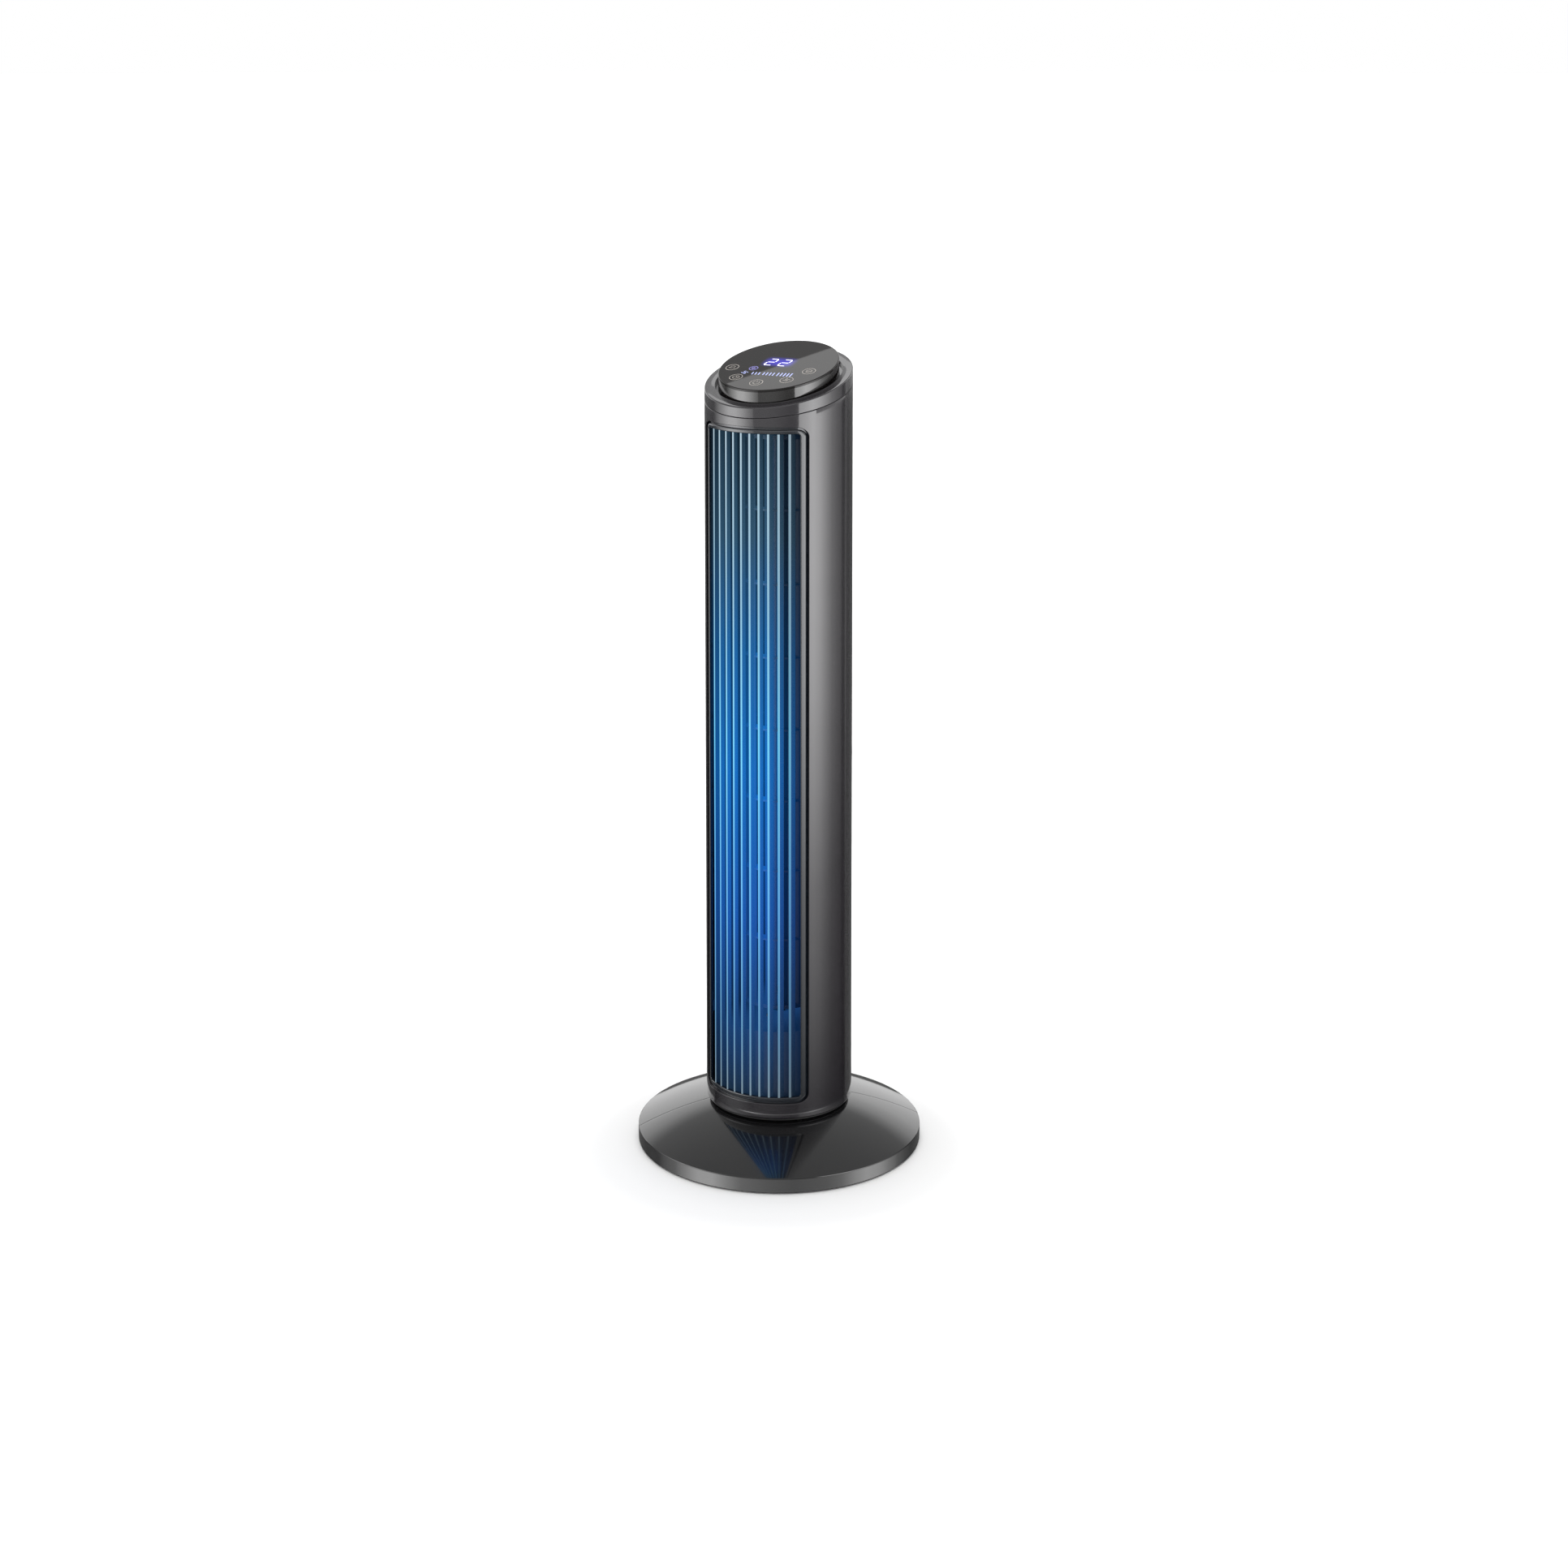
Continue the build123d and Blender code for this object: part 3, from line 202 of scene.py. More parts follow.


def paintedOutletLight(tree, stops, left, right):
    # painted light: a glow colour by height, darkened towards both sides by painted shade: each is
    # (place where the dimming starts, place where it ends, share of light left there)
    across, depth, height = tree.parts(tree.place(holder=nodes["duct_volute"]))
    share = (height - outletLow) / (outletHigh - outletLow)
    shade = tree.node("ShaderNodeValToRGB", {"stops": [(p, linear(c)) for p, c in stops]}, {"Fac": share})
    # painted shade: dims the glow towards both sides
    dim = across.ramp(left[1], left[0], left[2], 1.0) * across.ramp(right[0], right[1], 1.0, right[2])
    return tree.mix(dim, (0.0, 0.0, 0.0), shade), across, depth, height


def paintedInsideGlow(stops, left=(-15.0, -60.0, 0.3), right=(5.0, 45.0, 0.35)):
    # painted glow: the inside of the outlet sends out blue light of its own, greyed towards both ends by
    # painted shade
    return lambda tree: paintedOutletLight(tree, stops, left, right)[0]


def barGlow(edge, side, surface=82.0, taper=0.00494, footZ=53.0, inset=3.0):
    # painted highlight and glow: a bar's front edge sends out a pale painted highlight, and its sides the
    # painted blue glow from inside
    def shade(tree):
        paintedFrontHighlight, across, depth, height = paintedOutletLight(tree, edge, (-40.0, -64.0, 0.75), (20.0, 62.0, 0.4))
        paintedSideGlow = paintedOutletLight(tree, side, (-22.0, -62.0, 0.3), (12.0, 58.0, 0.35))[0]
        radius = (across * across + depth * depth).root()
        deep = (surface - taper * (height - footZ)) - radius
        return tree.mix(deep.ramp(inset - 0.8, inset - 0.4), paintedFrontHighlight, paintedSideGlow)
    return shade


def paintedDisplayHalo(centre, reach, fade, colourCode):
    # painted glow: the glass itself sends out a soft violet light round the digits, where the display shines
    # under it
    def shade(tree):
        across, depth = tree.parts(tree.place())[:2]
        wide = (across - centre[0]).size().ramp(reach[0] - fade, reach[0] + fade, 1.0, 0.0)
        tall = (depth - centre[1]).size().ramp(reach[1] - fade, reach[1] + fade, 1.0, 0.0)
        return tree.mix(wide * tall, (0.0, 0.0, 0.0), linear(colourCode))
    return shade


# painted glow: the blue light that the outlet's inside sends out, by height
insideGlowStops = [(0.0, "#16283a"), (0.1, "#153a68"), (0.28, "#1654a8"), (0.5, "#1268ba"), (0.68, "#1a5f9c"),
               (0.84, "#2c4f68"), (1.0, "#1d3240")]
# painted highlight: the pale light of the bars' front edges, by height
edgeHighlightStops = [(0.0, "#75868f"), (0.12, "#5a94bc"), (0.3, "#5aaeea"), (0.55, "#66ccf4"), (0.75, "#84b8d2"),
             (1.0, "#a4bcc8")]
finishes = {
    "column_gloss": dict(base="#2b292d", rough=0.16, coat=1.0, metal=0.2, bump=0.003, roughVary=0.02),
    "base_gloss": dict(base="#141415", rough=0.14, coat=1.0, bump=0.003, roughVary=0.02),
    "panel_gloss": dict(base="#191716", rough=0.12, coat=1.0, bump=0.002, roughVary=0.02),
    # outlet bars: dark satin, with a painted highlight on their front edges and a painted blue glow on their
    # sides
    "grille_satin": dict(base="#232a33", rough=0.3, metal=0.2, bump=0.03,
                         glow=barGlow(edgeHighlightStops, insideGlowStops)),
    "intake_satin": dict(base="#2c2b2e", rough=0.45, bump=0.08),
    # duct and impeller: dark navy plastic, whose bright blue is a painted glow
    "duct_blue": dict(base="#0a1c38", rough=0.45, bump=0.05, glow=paintedInsideGlow(insideGlowStops)),
    "impeller_blue": dict(base="#0a2040", rough=0.4, bump=0.05,
                          glow=paintedInsideGlow(insideGlowStops, (-4.0, -40.0, 0.35), (4.0, 21.0, 0.12))),
    "inner_black": dict(base="#19191a", rough=0.5, bump=0.12),
    "white_nylon": dict(base="#d8d6ce", rough=0.42, bump=0.06),
    "clear_cord": dict(base="#3a3a3a", rough=0.45, bump=0.08),
    "steel": dict(base="#9a9a9c", rough=0.3, metal=1.0, bump=0.04),
    "zinc": dict(base="#b4b6b4", rough=0.36, metal=1.0, bump=0.05),
    "iron": dict(base="#4a4845", rough=0.6, metal=0.8, bump=0.2),
    "bronze": dict(base="#a9794a", rough=0.38, metal=1.0, bump=0.06),
    "rubber": dict(base="#1d1d1d", rough=0.75, bump=0.2),
    "board_green": dict(base="#1f5a36", rough=0.45, bump=0.1),
    "light_blue": dict(base="#9fc4ff", rough=0.3, bump=0.05),
    "motor_can": dict(base="#c2c0ba", rough=0.34, metal=0.9, bump=0.06),
}
made = {}
for name, node in nodes.items():
    for holder in node.material_slots:
        slot = holder.material.name.split(".")[0]
        if slot not in made:
            made[slot] = material(slot + "_finish", **finishes[slot])
        holder.material = made[slot]
for name, recipe in {
    "frame_gloss": dict(base="#1b2027", rough=0.18, coat=1.0, metal=0.2, bump=0.003, roughVary=0.02),
    # glass: dark gloss, with a painted violet glow round the digits
    "glass_lit": dict(base="#191716", rough=0.012, ior=1.4, bump=0.001, roughVary=0.004,
                      glow=paintedDisplayHalo((-2.3, 6.2), (15.0, 8.0), 6.0, "#4038c4")),
    # white print, with a faint painted glow on top
    "print_white": dict(base="#a09a94", rough=0.5, bump=0.02, light=("#d8d2cc", 0.25)),
    "digit_light": dict(base="#e8e8ff", rough=0.4, bump=0.02, light=("#e2dfff", 0.95)),
    "level_light": dict(base="#8f98cc", rough=0.4, bump=0.02, light=("#b9c2f4", 0.75)),
    "mode_light": dict(base="#7a76b4", rough=0.4, bump=0.02, light=("#a39cf0", 0.55)),
}.items():
    made[name] = material(name, **recipe)
for holder in nodes["touch_panel"].material_slots:
    holder.material = made["glass_lit"]
print("finishes:", len(made))


# ---- mesh making ----
def gridFaces(rows, columns, aroundRows=False, aroundColumns=False, start=0):
    # quads between neighbouring rows and columns of a grid of points
    i = np.arange(rows if aroundRows else rows - 1)[:, None]
    j = np.arange(columns if aroundColumns else columns - 1)[None, :]
    nextRow = (i + 1) % rows
    nextColumn = (j + 1) % columns
    corners = [i * columns + j, i * columns + nextColumn,
               nextRow * columns + nextColumn, nextRow * columns + j]
    return np.stack(np.broadcast_arrays(*corners), -1).reshape(-1, 4) + start


class Skin:
    # gathers grids of points in millimetres, and welds them into one mesh
    def __init__(self):
        self.points = []
        self.faces = []
        self.count = 0

    def grid(self, points, aroundRows=False, aroundColumns=False):
        # points: rows x columns x 3; quads join neighbours
        rows, columns = points.shape[:2]
        self.faces.append(gridFaces(rows, columns, aroundRows, aroundColumns, self.count))
        self.points.append(points.reshape(-1, 3))
        self.count += rows * columns
        return self

    def bridge(self, first, second, around=False):
        return self.grid(np.stack([first, second]), aroundColumns=around)

    def cap(self, loop):
        # closes a loop with a fan to its middle
        return self.bridge(loop, np.broadcast_to(loop.mean(0), loop.shape), True)

    def build(self, name, body, slot, finish, sharp=32.0, weld=0.002):
        # sharp: degrees between faces above which an edge stays crisp; weld: millimetres
        mesh = bpy.data.meshes.new(name)
        points = np.concatenate(self.points) * 0.001
        mesh.from_pydata(points.tolist(), [], np.concatenate(self.faces).tolist())
        mesh.materials.append(made[finish])
        work = bmesh.new()
        work.from_mesh(mesh)
        bmesh.ops.remove_doubles(work, verts=work.verts, dist=weld * 0.001)
        bmesh.ops.dissolve_degenerate(work, dist=weld * 0.0005, edges=work.edges)
        bmesh.ops.recalc_face_normals(work, faces=work.faces)
        loose = sum(not edge.is_manifold for edge in work.edges)
        work.to_mesh(mesh)
        work.free()
        mesh.shade_smooth()
        mesh.set_sharp_from_angle(angle=math.radians(sharp))
        piece = bpy.data.objects.new(name, mesh)
        bpy.context.scene.collection.objects.link(piece)
        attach(piece, body)
        print("piece", name, len(mesh.polygons), "faces,", loose, "open edges")
        return piece


def quarter(radius, steps):
    # a rounded edge, from one face to the next: distance back from the corner, and in from the surface
    turn = np.linspace(0.0, np.pi / 2, steps)
    return radius * (1 - np.sin(turn)), radius * (1 - np.cos(turn))


def millimetres(corner):
    return np.array(corner) * 1000.0


# ---- the column's cone, which most pieces follow ----
foot = millimetres(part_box("front_housing")[0])
column = dict(low=foot[2], bottomRadius=82.0, topRadius=78.0, topZ=862.5, wall=2.5,
              bottomRound=3.0, bottomFlange=12.0, seamZ=848.0, seamTilt=13.9, rimTilt=16.3, gap=0.3)
column["taper"] = (column["bottomRadius"] - column["topRadius"]) / (column["topZ"] - column["low"])
column["middleRadius"] = (column["bottomRadius"] + column["topRadius"]) / 2


def coneRadius(z):
    # falls evenly with height
    return column["bottomRadius"] - column["taper"] * (z - column["low"])


def conePoint(x, z, inset, side=-1):
    # the point of the cone, less an inset, that lies straight behind (x, z) on the front (-1) or back (1)
    radius = coneRadius(z) - inset
    return np.stack([x + 0 * z, side * np.sqrt(np.maximum(radius ** 2 - x ** 2, 0.0)), z + 0 * x], -1)


def turnPoint(angle, radius, z):
    # a point at an angle in degrees from the front
    turn = np.radians(angle)
    return np.stack(np.broadcast_arrays(radius * np.sin(turn), -radius * np.cos(turn), z), -1)


def planeZ(axisZ, tilt, y):
    # a plane that rises towards the back
    return axisZ + math.tan(math.radians(tilt)) * y


def coneMeet(angle, inset, axisZ, tilt):
    # height at which a slanted plane meets the cone, less an inset, at an angle from the front
    lean = math.tan(math.radians(tilt)) * np.cos(np.radians(angle))
    k = column["taper"]
    return (axisZ - lean * (column["bottomRadius"] - inset + k * column["low"])) / (1 - k * lean)


def openingLoop(s, shrink, corner):
    # rounded trapezium whose sides keep one angle round the cone: x and z, anticlockwise from low left
    sine = math.sin(math.radians(s["halfAngle"]))
    bottom, top, ends = s["low"] + shrink, s["high"] - shrink, s["ends"]
    half = lambda z: coneRadius(z) * sine - shrink
    turn = np.linspace(0.0, np.pi / 2, s["arc"])[1:-1]
    lowZ, highZ = bottom + corner, top - corner
    lowX, highX = half(lowZ) - corner, half(highZ) - corner
    up = np.linspace(lowZ, highZ, s["sides"])
    x = np.concatenate([np.linspace(-lowX, lowX, ends), lowX + corner * np.sin(turn),
                        half(up), highX + corner * np.cos(turn),
                        np.linspace(highX, -highX, ends), -highX - corner * np.sin(turn),
                        -half(up[::-1]), -lowX - corner * np.cos(turn)])
    z = np.concatenate([np.full(ends, bottom), lowZ - corner * np.cos(turn),
                        up, highZ + corner * np.sin(turn),
                        np.full(ends, top), highZ + corner * np.cos(turn),
                        up[::-1], lowZ - corner * np.sin(turn)])
    return x, z


# ---- outlet grille: rounded frame and slim upright bars ----
# sides, ends and arc: points along the opening's long sides, its ends and its rounded corners
outlet = dict(halfAngle=50.5, low=71.5, high=820.0, corner=10.0, groove=2.4, width=4.8, inset=1.0,
              thickness=4.0, lip=1.3, skirt=1.2, leastCorner=2.0,
              flange=3.0, flangeBack=2.8, flangeThickness=2.0,
              bars=10, barWidth=2.2, barInset=2.0, barDepth=8.0, barRound=0.7, sides=60, ends=44, arc=9)


def makeOutletFrame(s):
    # the frame's section, given as (shrink, inset) pairs, is carried round the opening's outline
    back, curl = quarter(s["lip"], 7)
    outer, inner = s["groove"], s["groove"] + s["width"]
    rear = s["flangeBack"] + s["flangeThickness"]
    section = [(outer + s["skirt"], s["inset"] + s["thickness"]), (outer + s["skirt"], rear),
               (-s["flange"], rear), (-s["flange"], s["flangeBack"]), (outer, s["flangeBack"])]
    section += [(outer + c, s["inset"] + b) for b, c in zip(back, curl)]
    section += [(inner - c, s["inset"] + b) for b, c in zip(back[::-1], curl[::-1])]
    section += [(inner, s["inset"] + s["thickness"])]
    rows = []
    for shrink, inset in section:
        x, z = openingLoop(s, shrink, max(s["leastCorner"], s["corner"] - shrink))
        rows.append(conePoint(x, z, inset))
    skin = Skin().grid(np.array(rows), aroundRows=True, aroundColumns=True)
    piece = skin.build("outletFrame", "column", "grille_satin", "frame_gloss")
    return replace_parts(piece, "outlet_grille")


def makeOutletBars(s):
    # a bar's rounded outline in plan is carried up the cone; the bars leave equal gaps at every height
    back, curl = quarter(s["barRound"], 6)
    half = s["barWidth"] / 2
    across = np.concatenate([[-half], -half + curl, (half - curl)[::-1], [half]])
    inset = np.concatenate([[s["barDepth"]], back, back[::-1], [s["barDepth"]]])
    reach = s["groove"] + s["width"] / 2
    z = np.linspace(s["low"] + reach, s["high"] - reach, 24)[:, None]
    halfOpening = coneRadius(z) * math.sin(math.radians(s["halfAngle"])) - s["groove"] - s["width"]
    pitch = (2 * halfOpening + s["barWidth"]) / (s["bars"] + 1)
    skin = Skin()
    for i in range(s["bars"]):
        bar = conePoint((i - (s["bars"] - 1) / 2) * pitch + across, z, s["barInset"] + inset)
        skin.grid(bar, aroundColumns=True).cap(bar[0]).cap(bar[-1])
    return skin.build("outletBars", "column", "grille_satin", "grille_satin")


# ---- column front: one skin from the rounded foot to the cap's seam, with the outlet's opening ----
# sideAngle: where the ring's sides stand; span: half the angle of its ends; strip: height of the foot band
front = dict(edge=0.5, openingEdge=0.6, strip=10.0, sideAngle=57.0, span=49.0, innerFlange=3.0)


def makeColumnFront(s):
    # the wall round the opening is a ring from the outline to a frame of angles and heights;
    # plain strips carry it on to the seams, and a turned band makes the foot
    low, high, corner = (outlet[key] for key in ("low", "high", "corner"))
    ends, sides, arc = (outlet[key] for key in ("ends", "sides", "arc"))
    bandZ = column["low"] + s["strip"]
    middle = column["middleRadius"]
    flat = 90.0 - math.degrees(math.asin(column["gap"] / 2 / middle))
    skin = Skin()
    turn = np.linspace(0.0, np.pi / 2, arc)[1:-1]
    reach = np.minimum(1.0, np.tan(turn))
    early, late = turn <= np.pi / 4 + 1e-9, turn >= np.pi / 4 - 1e-9
    wide, span = s["sideAngle"], s["span"]
    lowSide, highSide = low + corner, high - corner

    def wall(inset, edge, openingEdge):
        seam = lambda angle: coneMeet(angle, inset, column["seamZ"], column["seamTilt"]) - edge
        cornerA = span + (wide - span) * reach
        lowZ = lowSide - (lowSide - bandZ) * reach[::-1]
        highZ = np.where(early, highSide + (seam(wide) - highSide) * reach, seam(cornerA[::-1]))
        up = np.linspace(lowSide, highSide, sides)
        top = np.linspace(span, -span, ends)
        angle = np.concatenate([top[::-1], cornerA, np.full(sides, wide), cornerA[::-1],
                                top, -cornerA, np.full(sides, -wide), -cornerA[::-1]])
        z = np.concatenate([np.full(ends, bandZ), lowZ, up, highZ,
                            seam(top), highZ[::-1], up[::-1], lowZ[::-1]])
        x, openZ = openingLoop(outlet, -openingEdge, corner + openingEdge)
        openAngle = np.degrees(np.arcsin(x / (coneRadius(openZ) - inset)))
        t = np.concatenate([[0.0, 0.015], np.linspace(0.1, 0.9, 8), [0.985, 1.0]])[:, None]
        ringZ = z + (openZ - z) * t
        ring = turnPoint(angle + (openAngle - angle) * t, coneRadius(ringZ) - inset, ringZ)
        skin.grid(ring, aroundColumns=True)
        # strips beside the ring; the inner wall also meets the points of the seam's rounded edge
        last = flat - math.degrees(s["edge"] / middle)
        stripZ = np.concatenate([lowZ[late], up, highZ[early]])
        share = (stripZ - bandZ) / (seam(wide) - bandZ)
        stripA = np.append(np.linspace(wide, last - 0.4, 14), last)
        if not edge:
            curl = quarter(s["edge"], 6)[1][::-1]
            stripA = np.concatenate([stripA, flat - np.degrees(curl[1:] / middle)])
        height = bandZ + (seam(stripA)[:, None] - bandZ) * share
        for sign in (-1.0, 1.0):
            skin.grid(turnPoint(sign * stripA[:, None], coneRadius(height) - inset, height))
        # foot band: rounded outside, and a flat flange inside
        along = np.concatenate([top, cornerA[early]])
        along = np.unique(np.round(np.concatenate([along, -along, stripA, -stripA]), 6))
        flange = column["bottomRadius"] - column["bottomFlange"]
        if edge:
            bend = np.linspace(0, np.pi / 2, 8)
            footRound = column["bottomRound"]
            centreZ = column["low"] + footRound
            middleR = coneRadius(centreZ) - footRound + footRound * np.sin(bend)
            middleZ = centreZ - footRound * np.cos(bend)
        else:
            ledge = column["low"] + s["innerFlange"]
            middleR = np.linspace(flange, coneRadius(ledge) - inset, 8)
            middleZ = np.full(8, ledge)
        bandR = np.concatenate([[flange], middleR, [coneRadius(bandZ) - inset]])
        heights = np.concatenate([[column["low"]], middleZ, [bandZ]])
        skin.grid(turnPoint(along, bandR[:, None], heights[:, None]))
        seamZ = np.concatenate([heights, height[-1][1:]])
        seamR = np.concatenate([bandR, coneRadius(height[-1][1:]) - inset])
        topA = np.concatenate([stripA, -stripA, top, cornerA[early], -cornerA[early]])
        return ring[-1], seamR, seamZ, np.unique(np.round(topA, 6))

    outerR, outerZ, topA = wall(0.0, s["edge"], s["openingEdge"])[1:]
    innerRing, innerR, innerZ, innerTop = wall(column["wall"], 0.0, 0.0)
    # the opening's edge: a small round, then a wall straight back
    back, curl = quarter(s["openingEdge"], 6)
    rows = []
    for b, c in zip(back[::-1], curl[::-1]):
        x, z = openingLoop(outlet, -c, corner + c)
        rows.append(conePoint(x, z, b))
    skin.grid(np.array(rows + [innerRing]), aroundColumns=True)
    # seams down both sides: a small round, then a flat face
    back, curl = quarter(s["edge"], 6)
    held = np.where(outerZ > column["low"], 1.0, 0.0)    # the flange's inner end isn't rounded
    held[0] = 0.0
    for sign in (-1.0, 1.0):
        rows = []
        for b, c in zip(back[::-1], curl[::-1]):
            angle = flat - math.degrees(c / middle)
            height = outerZ.copy()
            height[-1] = coneMeet(angle, b, column["seamZ"], column["seamTilt"]) - s["edge"]
            radius = outerR - b * held
            radius[-1] = coneRadius(height[-1]) - b
            rows.append(turnPoint(sign * angle, radius, height))
        skin.grid(np.array(rows))
        # the corner where the side seam meets the seam under the cap
        b1, c1 = back[:, None], curl[:, None]
        angle = flat - np.degrees(c1 / middle) + 0 * back
        inset = np.minimum(b1 + back, s["edge"])
        height = coneMeet(angle, inset, column["seamZ"], column["seamTilt"]) - curl
        patch = turnPoint(sign * angle, coneRadius(height) - inset, height)
        skin.grid(patch)
        # the seam's flat face, whose upper end closes on the inner wall's last point
        outerEdge = np.concatenate([rows[-1], patch[0][::-1][1:]])
        innerEdge = turnPoint(sign * flat, innerR, innerZ)
        spare = len(outerEdge) - len(innerEdge)
        innerEdge = np.concatenate([innerEdge, np.repeat(innerEdge[-1:], spare, 0)])
        skin.bridge(outerEdge, innerEdge)
    # seam under the cap
    rows = []
    for b, c in zip(back, curl):
        height = coneMeet(topA, b, column["seamZ"], column["seamTilt"]) - c
        rows.append(turnPoint(topA, coneRadius(height) - b, height))
    skin.grid(np.array(rows))
    lips = []
    for inset in (s["edge"], column["wall"]):
        height = coneMeet(innerTop, inset, column["seamZ"], column["seamTilt"])
        lips.append(turnPoint(innerTop, coneRadius(height) - inset, height))
    skin.bridge(*lips)
    piece = skin.build("columnFront", "column", "column_gloss", "column_gloss")
    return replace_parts(piece, "front_housing")


# ---- cap: outer wall, slanted rim and the trough round the control head ----
cap = dict(edge=0.5, rimEdge=0.9, troughRadius=67.0, troughWall=2.0, troughDepth=4.0, floorThickness=3.0,
           headRadius=63.8, ledge=2.5, skirtInset=2.8, skirtThickness=2.0, skirtDepth=6.0)


def makeTopCap(s):
    # for every angle the section is a closed loop of points on the cone or on upright rings,
    # each at a height on a slanted plane
    angle = np.linspace(0.0, 360.0, 181)[:-1]
    seamZ, seamTilt = column["seamZ"] + column["gap"], column["seamTilt"]
    rimZ, rimTilt = column["topZ"], column["rimTilt"]

    def onCone(inset, axisZ, tilt, lift=0.0):
        height = coneMeet(angle, inset, axisZ, tilt) + lift
        return turnPoint(angle, coneRadius(height) - inset, height)

    def onRing(radius, axisZ, tilt, lift=0.0):
        y = -radius * np.cos(np.radians(angle))
        return turnPoint(angle, radius, planeZ(axisZ, tilt, y) + lift)

    rows = []
    back, curl = quarter(s["edge"], 5)
    rows += [onCone(b, seamZ, seamTilt, c) for b, c in zip(back, curl)]
    low, high = rows[-1], onCone(0.0, rimZ, rimTilt, -s["rimEdge"])
    rows += [low + (high - low) * t for t in (0.03, 0.25, 0.5, 0.75, 0.97)]
    back, curl = quarter(s["rimEdge"], 7)
    rows += [onCone(b, rimZ, rimTilt, -c) for b, c in zip(back[::-1], curl[::-1])]
    back, curl = quarter(s["edge"], 5)
    rows += [onRing(s["troughRadius"] + b, rimZ, rimTilt, -c) for b, c in zip(back, curl)]
    floorZ = rimZ - s["troughDepth"]
    rows += [onRing(s["troughRadius"], floorZ, rimTilt), onRing(s["headRadius"], floorZ, rimTilt)]
    under, outside = floorZ - s["floorThickness"], s["troughRadius"] + s["troughWall"]
    rows += [onRing(s["headRadius"], under, rimTilt), onRing(outside, under, rimTilt)]
    ledgeZ = rimZ - s["ledge"]
    rows += [onRing(outside, ledgeZ, rimTilt), onCone(column["wall"], ledgeZ, rimTilt)]
    skirt, inner = s["skirtInset"], s["skirtInset"] + s["skirtThickness"]
    shelfZ, hemZ = seamZ + s["skirtThickness"], seamZ - s["skirtDepth"]
    rows += [onCone(inset, axisZ, seamTilt) for inset, axisZ in (
        (column["wall"], shelfZ), (inner, shelfZ), (inner, hemZ), (skirt, hemZ), (skirt, seamZ))]
    skin = Skin().grid(np.array(rows), aroundRows=True, aroundColumns=True)
    piece = skin.build("capRing", "column", "column_gloss", "column_gloss")
    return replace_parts(piece, "top_cap")


# ---- base front: half of the dome and rim, between its seams ----
# ball and ballZ: the sphere that makes the dome; footRound and footBend: end and middle of the foot's round;
# beside: how far a row stands from a rounding; turn: the base's front from the column's, in degrees
base = dict(radius=160.0, low=1.5, ball=340.0, ballZ=-282.0, wall=3.0, edgeRound=1.2, lip=0.5,
            footRound=0.4, footBend=0.12, beside=0.3,
            opening=74.0, flange=20.0, flangeHeight=3.0, gap=0.3, edge=0.8, turn=33.75)


def makeBaseFront(s):
    # the wall's outer and inner outlines are turned about the axis as far as the seam,
    # where the outer one draws in to round the edge
    centreR = s["radius"] - s["edgeRound"]
    centreZ = s["ballZ"] + math.sqrt((s["ball"] - s["edgeRound"]) ** 2 - centreR ** 2)
    lean = math.atan2(centreR, centreZ - s["ballZ"])
    low, lip, beside = (s[key] for key in ("low", "lip", "beside"))
    footRound, footBend = s["footRound"], s["footBend"]

    def outer(inset):
        rim, ball = s["radius"] - inset, s["ball"] - inset
        bend = np.linspace(0.0, np.pi / 2 - lean, 7)
        r = [np.array([s["radius"] - s["flange"], rim - footRound, rim - footBend, rim, rim, rim]),
             centreR + (s["edgeRound"] - inset) * np.cos(bend)]
        z = [np.array([low, low, low + footBend, low + footRound,
                       low + footRound + beside, centreZ - beside]),
             centreZ + (s["edgeRound"] - inset) * np.sin(bend)]
        domeR = np.append(r[1][-1] - 0.4, np.linspace(r[1][-1] - 2.0, s["opening"] + lip, 39))
        r.append(domeR)
        z.append(s["ballZ"] + np.sqrt(ball ** 2 - domeR ** 2))
        crown = s["ballZ"] + math.sqrt(ball ** 2 - (s["opening"] + lip) ** 2)
        back, curl = quarter(lip, 4)
        r.append(s["opening"] + back[::-1][1:])
        z.append(crown - curl[1:])
        return np.concatenate(r), np.concatenate(z)

    def inner(count):
        ballIn = s["ball"] - s["wall"]
        domeR = np.linspace(s["radius"] - s["wall"], s["opening"], 40)
        r = np.concatenate([[s["radius"] - s["flange"], s["radius"] - s["wall"]], domeR])
        z = np.concatenate([[low + s["flangeHeight"]] * 2, s["ballZ"] + np.sqrt(ballIn ** 2 - domeR ** 2)])
        way = np.concatenate([[0.0], np.cumsum(np.hypot(np.diff(r), np.diff(z)))])
        at = np.linspace(0.0, way[-1], count)
        return np.interp(at, way, r), np.interp(at, way, z)

    def swept(r, z, distance, share):
        # distance: from the seam plane; share: -1 to 1 from seam to seam
        flat = 90.0 - np.degrees(np.arcsin((s["gap"] / 2 + distance) / r))
        return turnPoint(share * flat, r, z)

    skin = Skin()
    back, curl = quarter(s["edge"], 6)
    columns = [swept(*outer(b), c, -1.0) for b, c in zip(back, curl)]
    r, z = outer(0.0)
    columns += [swept(r, z, s["edge"], share) for share in np.linspace(-1.0, 1.0, 145)[1:-1]]
    columns += [swept(*outer(b), c, 1.0) for b, c in zip(back[::-1], curl[::-1])]
    outside = np.array(columns)
    innerR, innerZ = inner(len(r))
    shares = np.linspace(-1.0, 1.0, len(columns))
    inside = np.array([swept(innerR, innerZ, 0.0, share) for share in shares])
    skin.grid(outside).grid(inside).bridge(outside[0], inside[0]).bridge(outside[-1], inside[-1])
    skin.bridge(outside[:, 0], inside[:, 0]).bridge(outside[:, -1], inside[:, -1])
    turn = math.radians(s["turn"])
    spin = np.array([[math.cos(turn), math.sin(turn), 0], [-math.sin(turn), math.cos(turn), 0], [0, 0, 1]])
    skin.points = [points @ spin for points in skin.points]
    piece = skin.build("baseFront", "base", "base_gloss", "base_gloss")
    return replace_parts(piece, "base_front_shell")


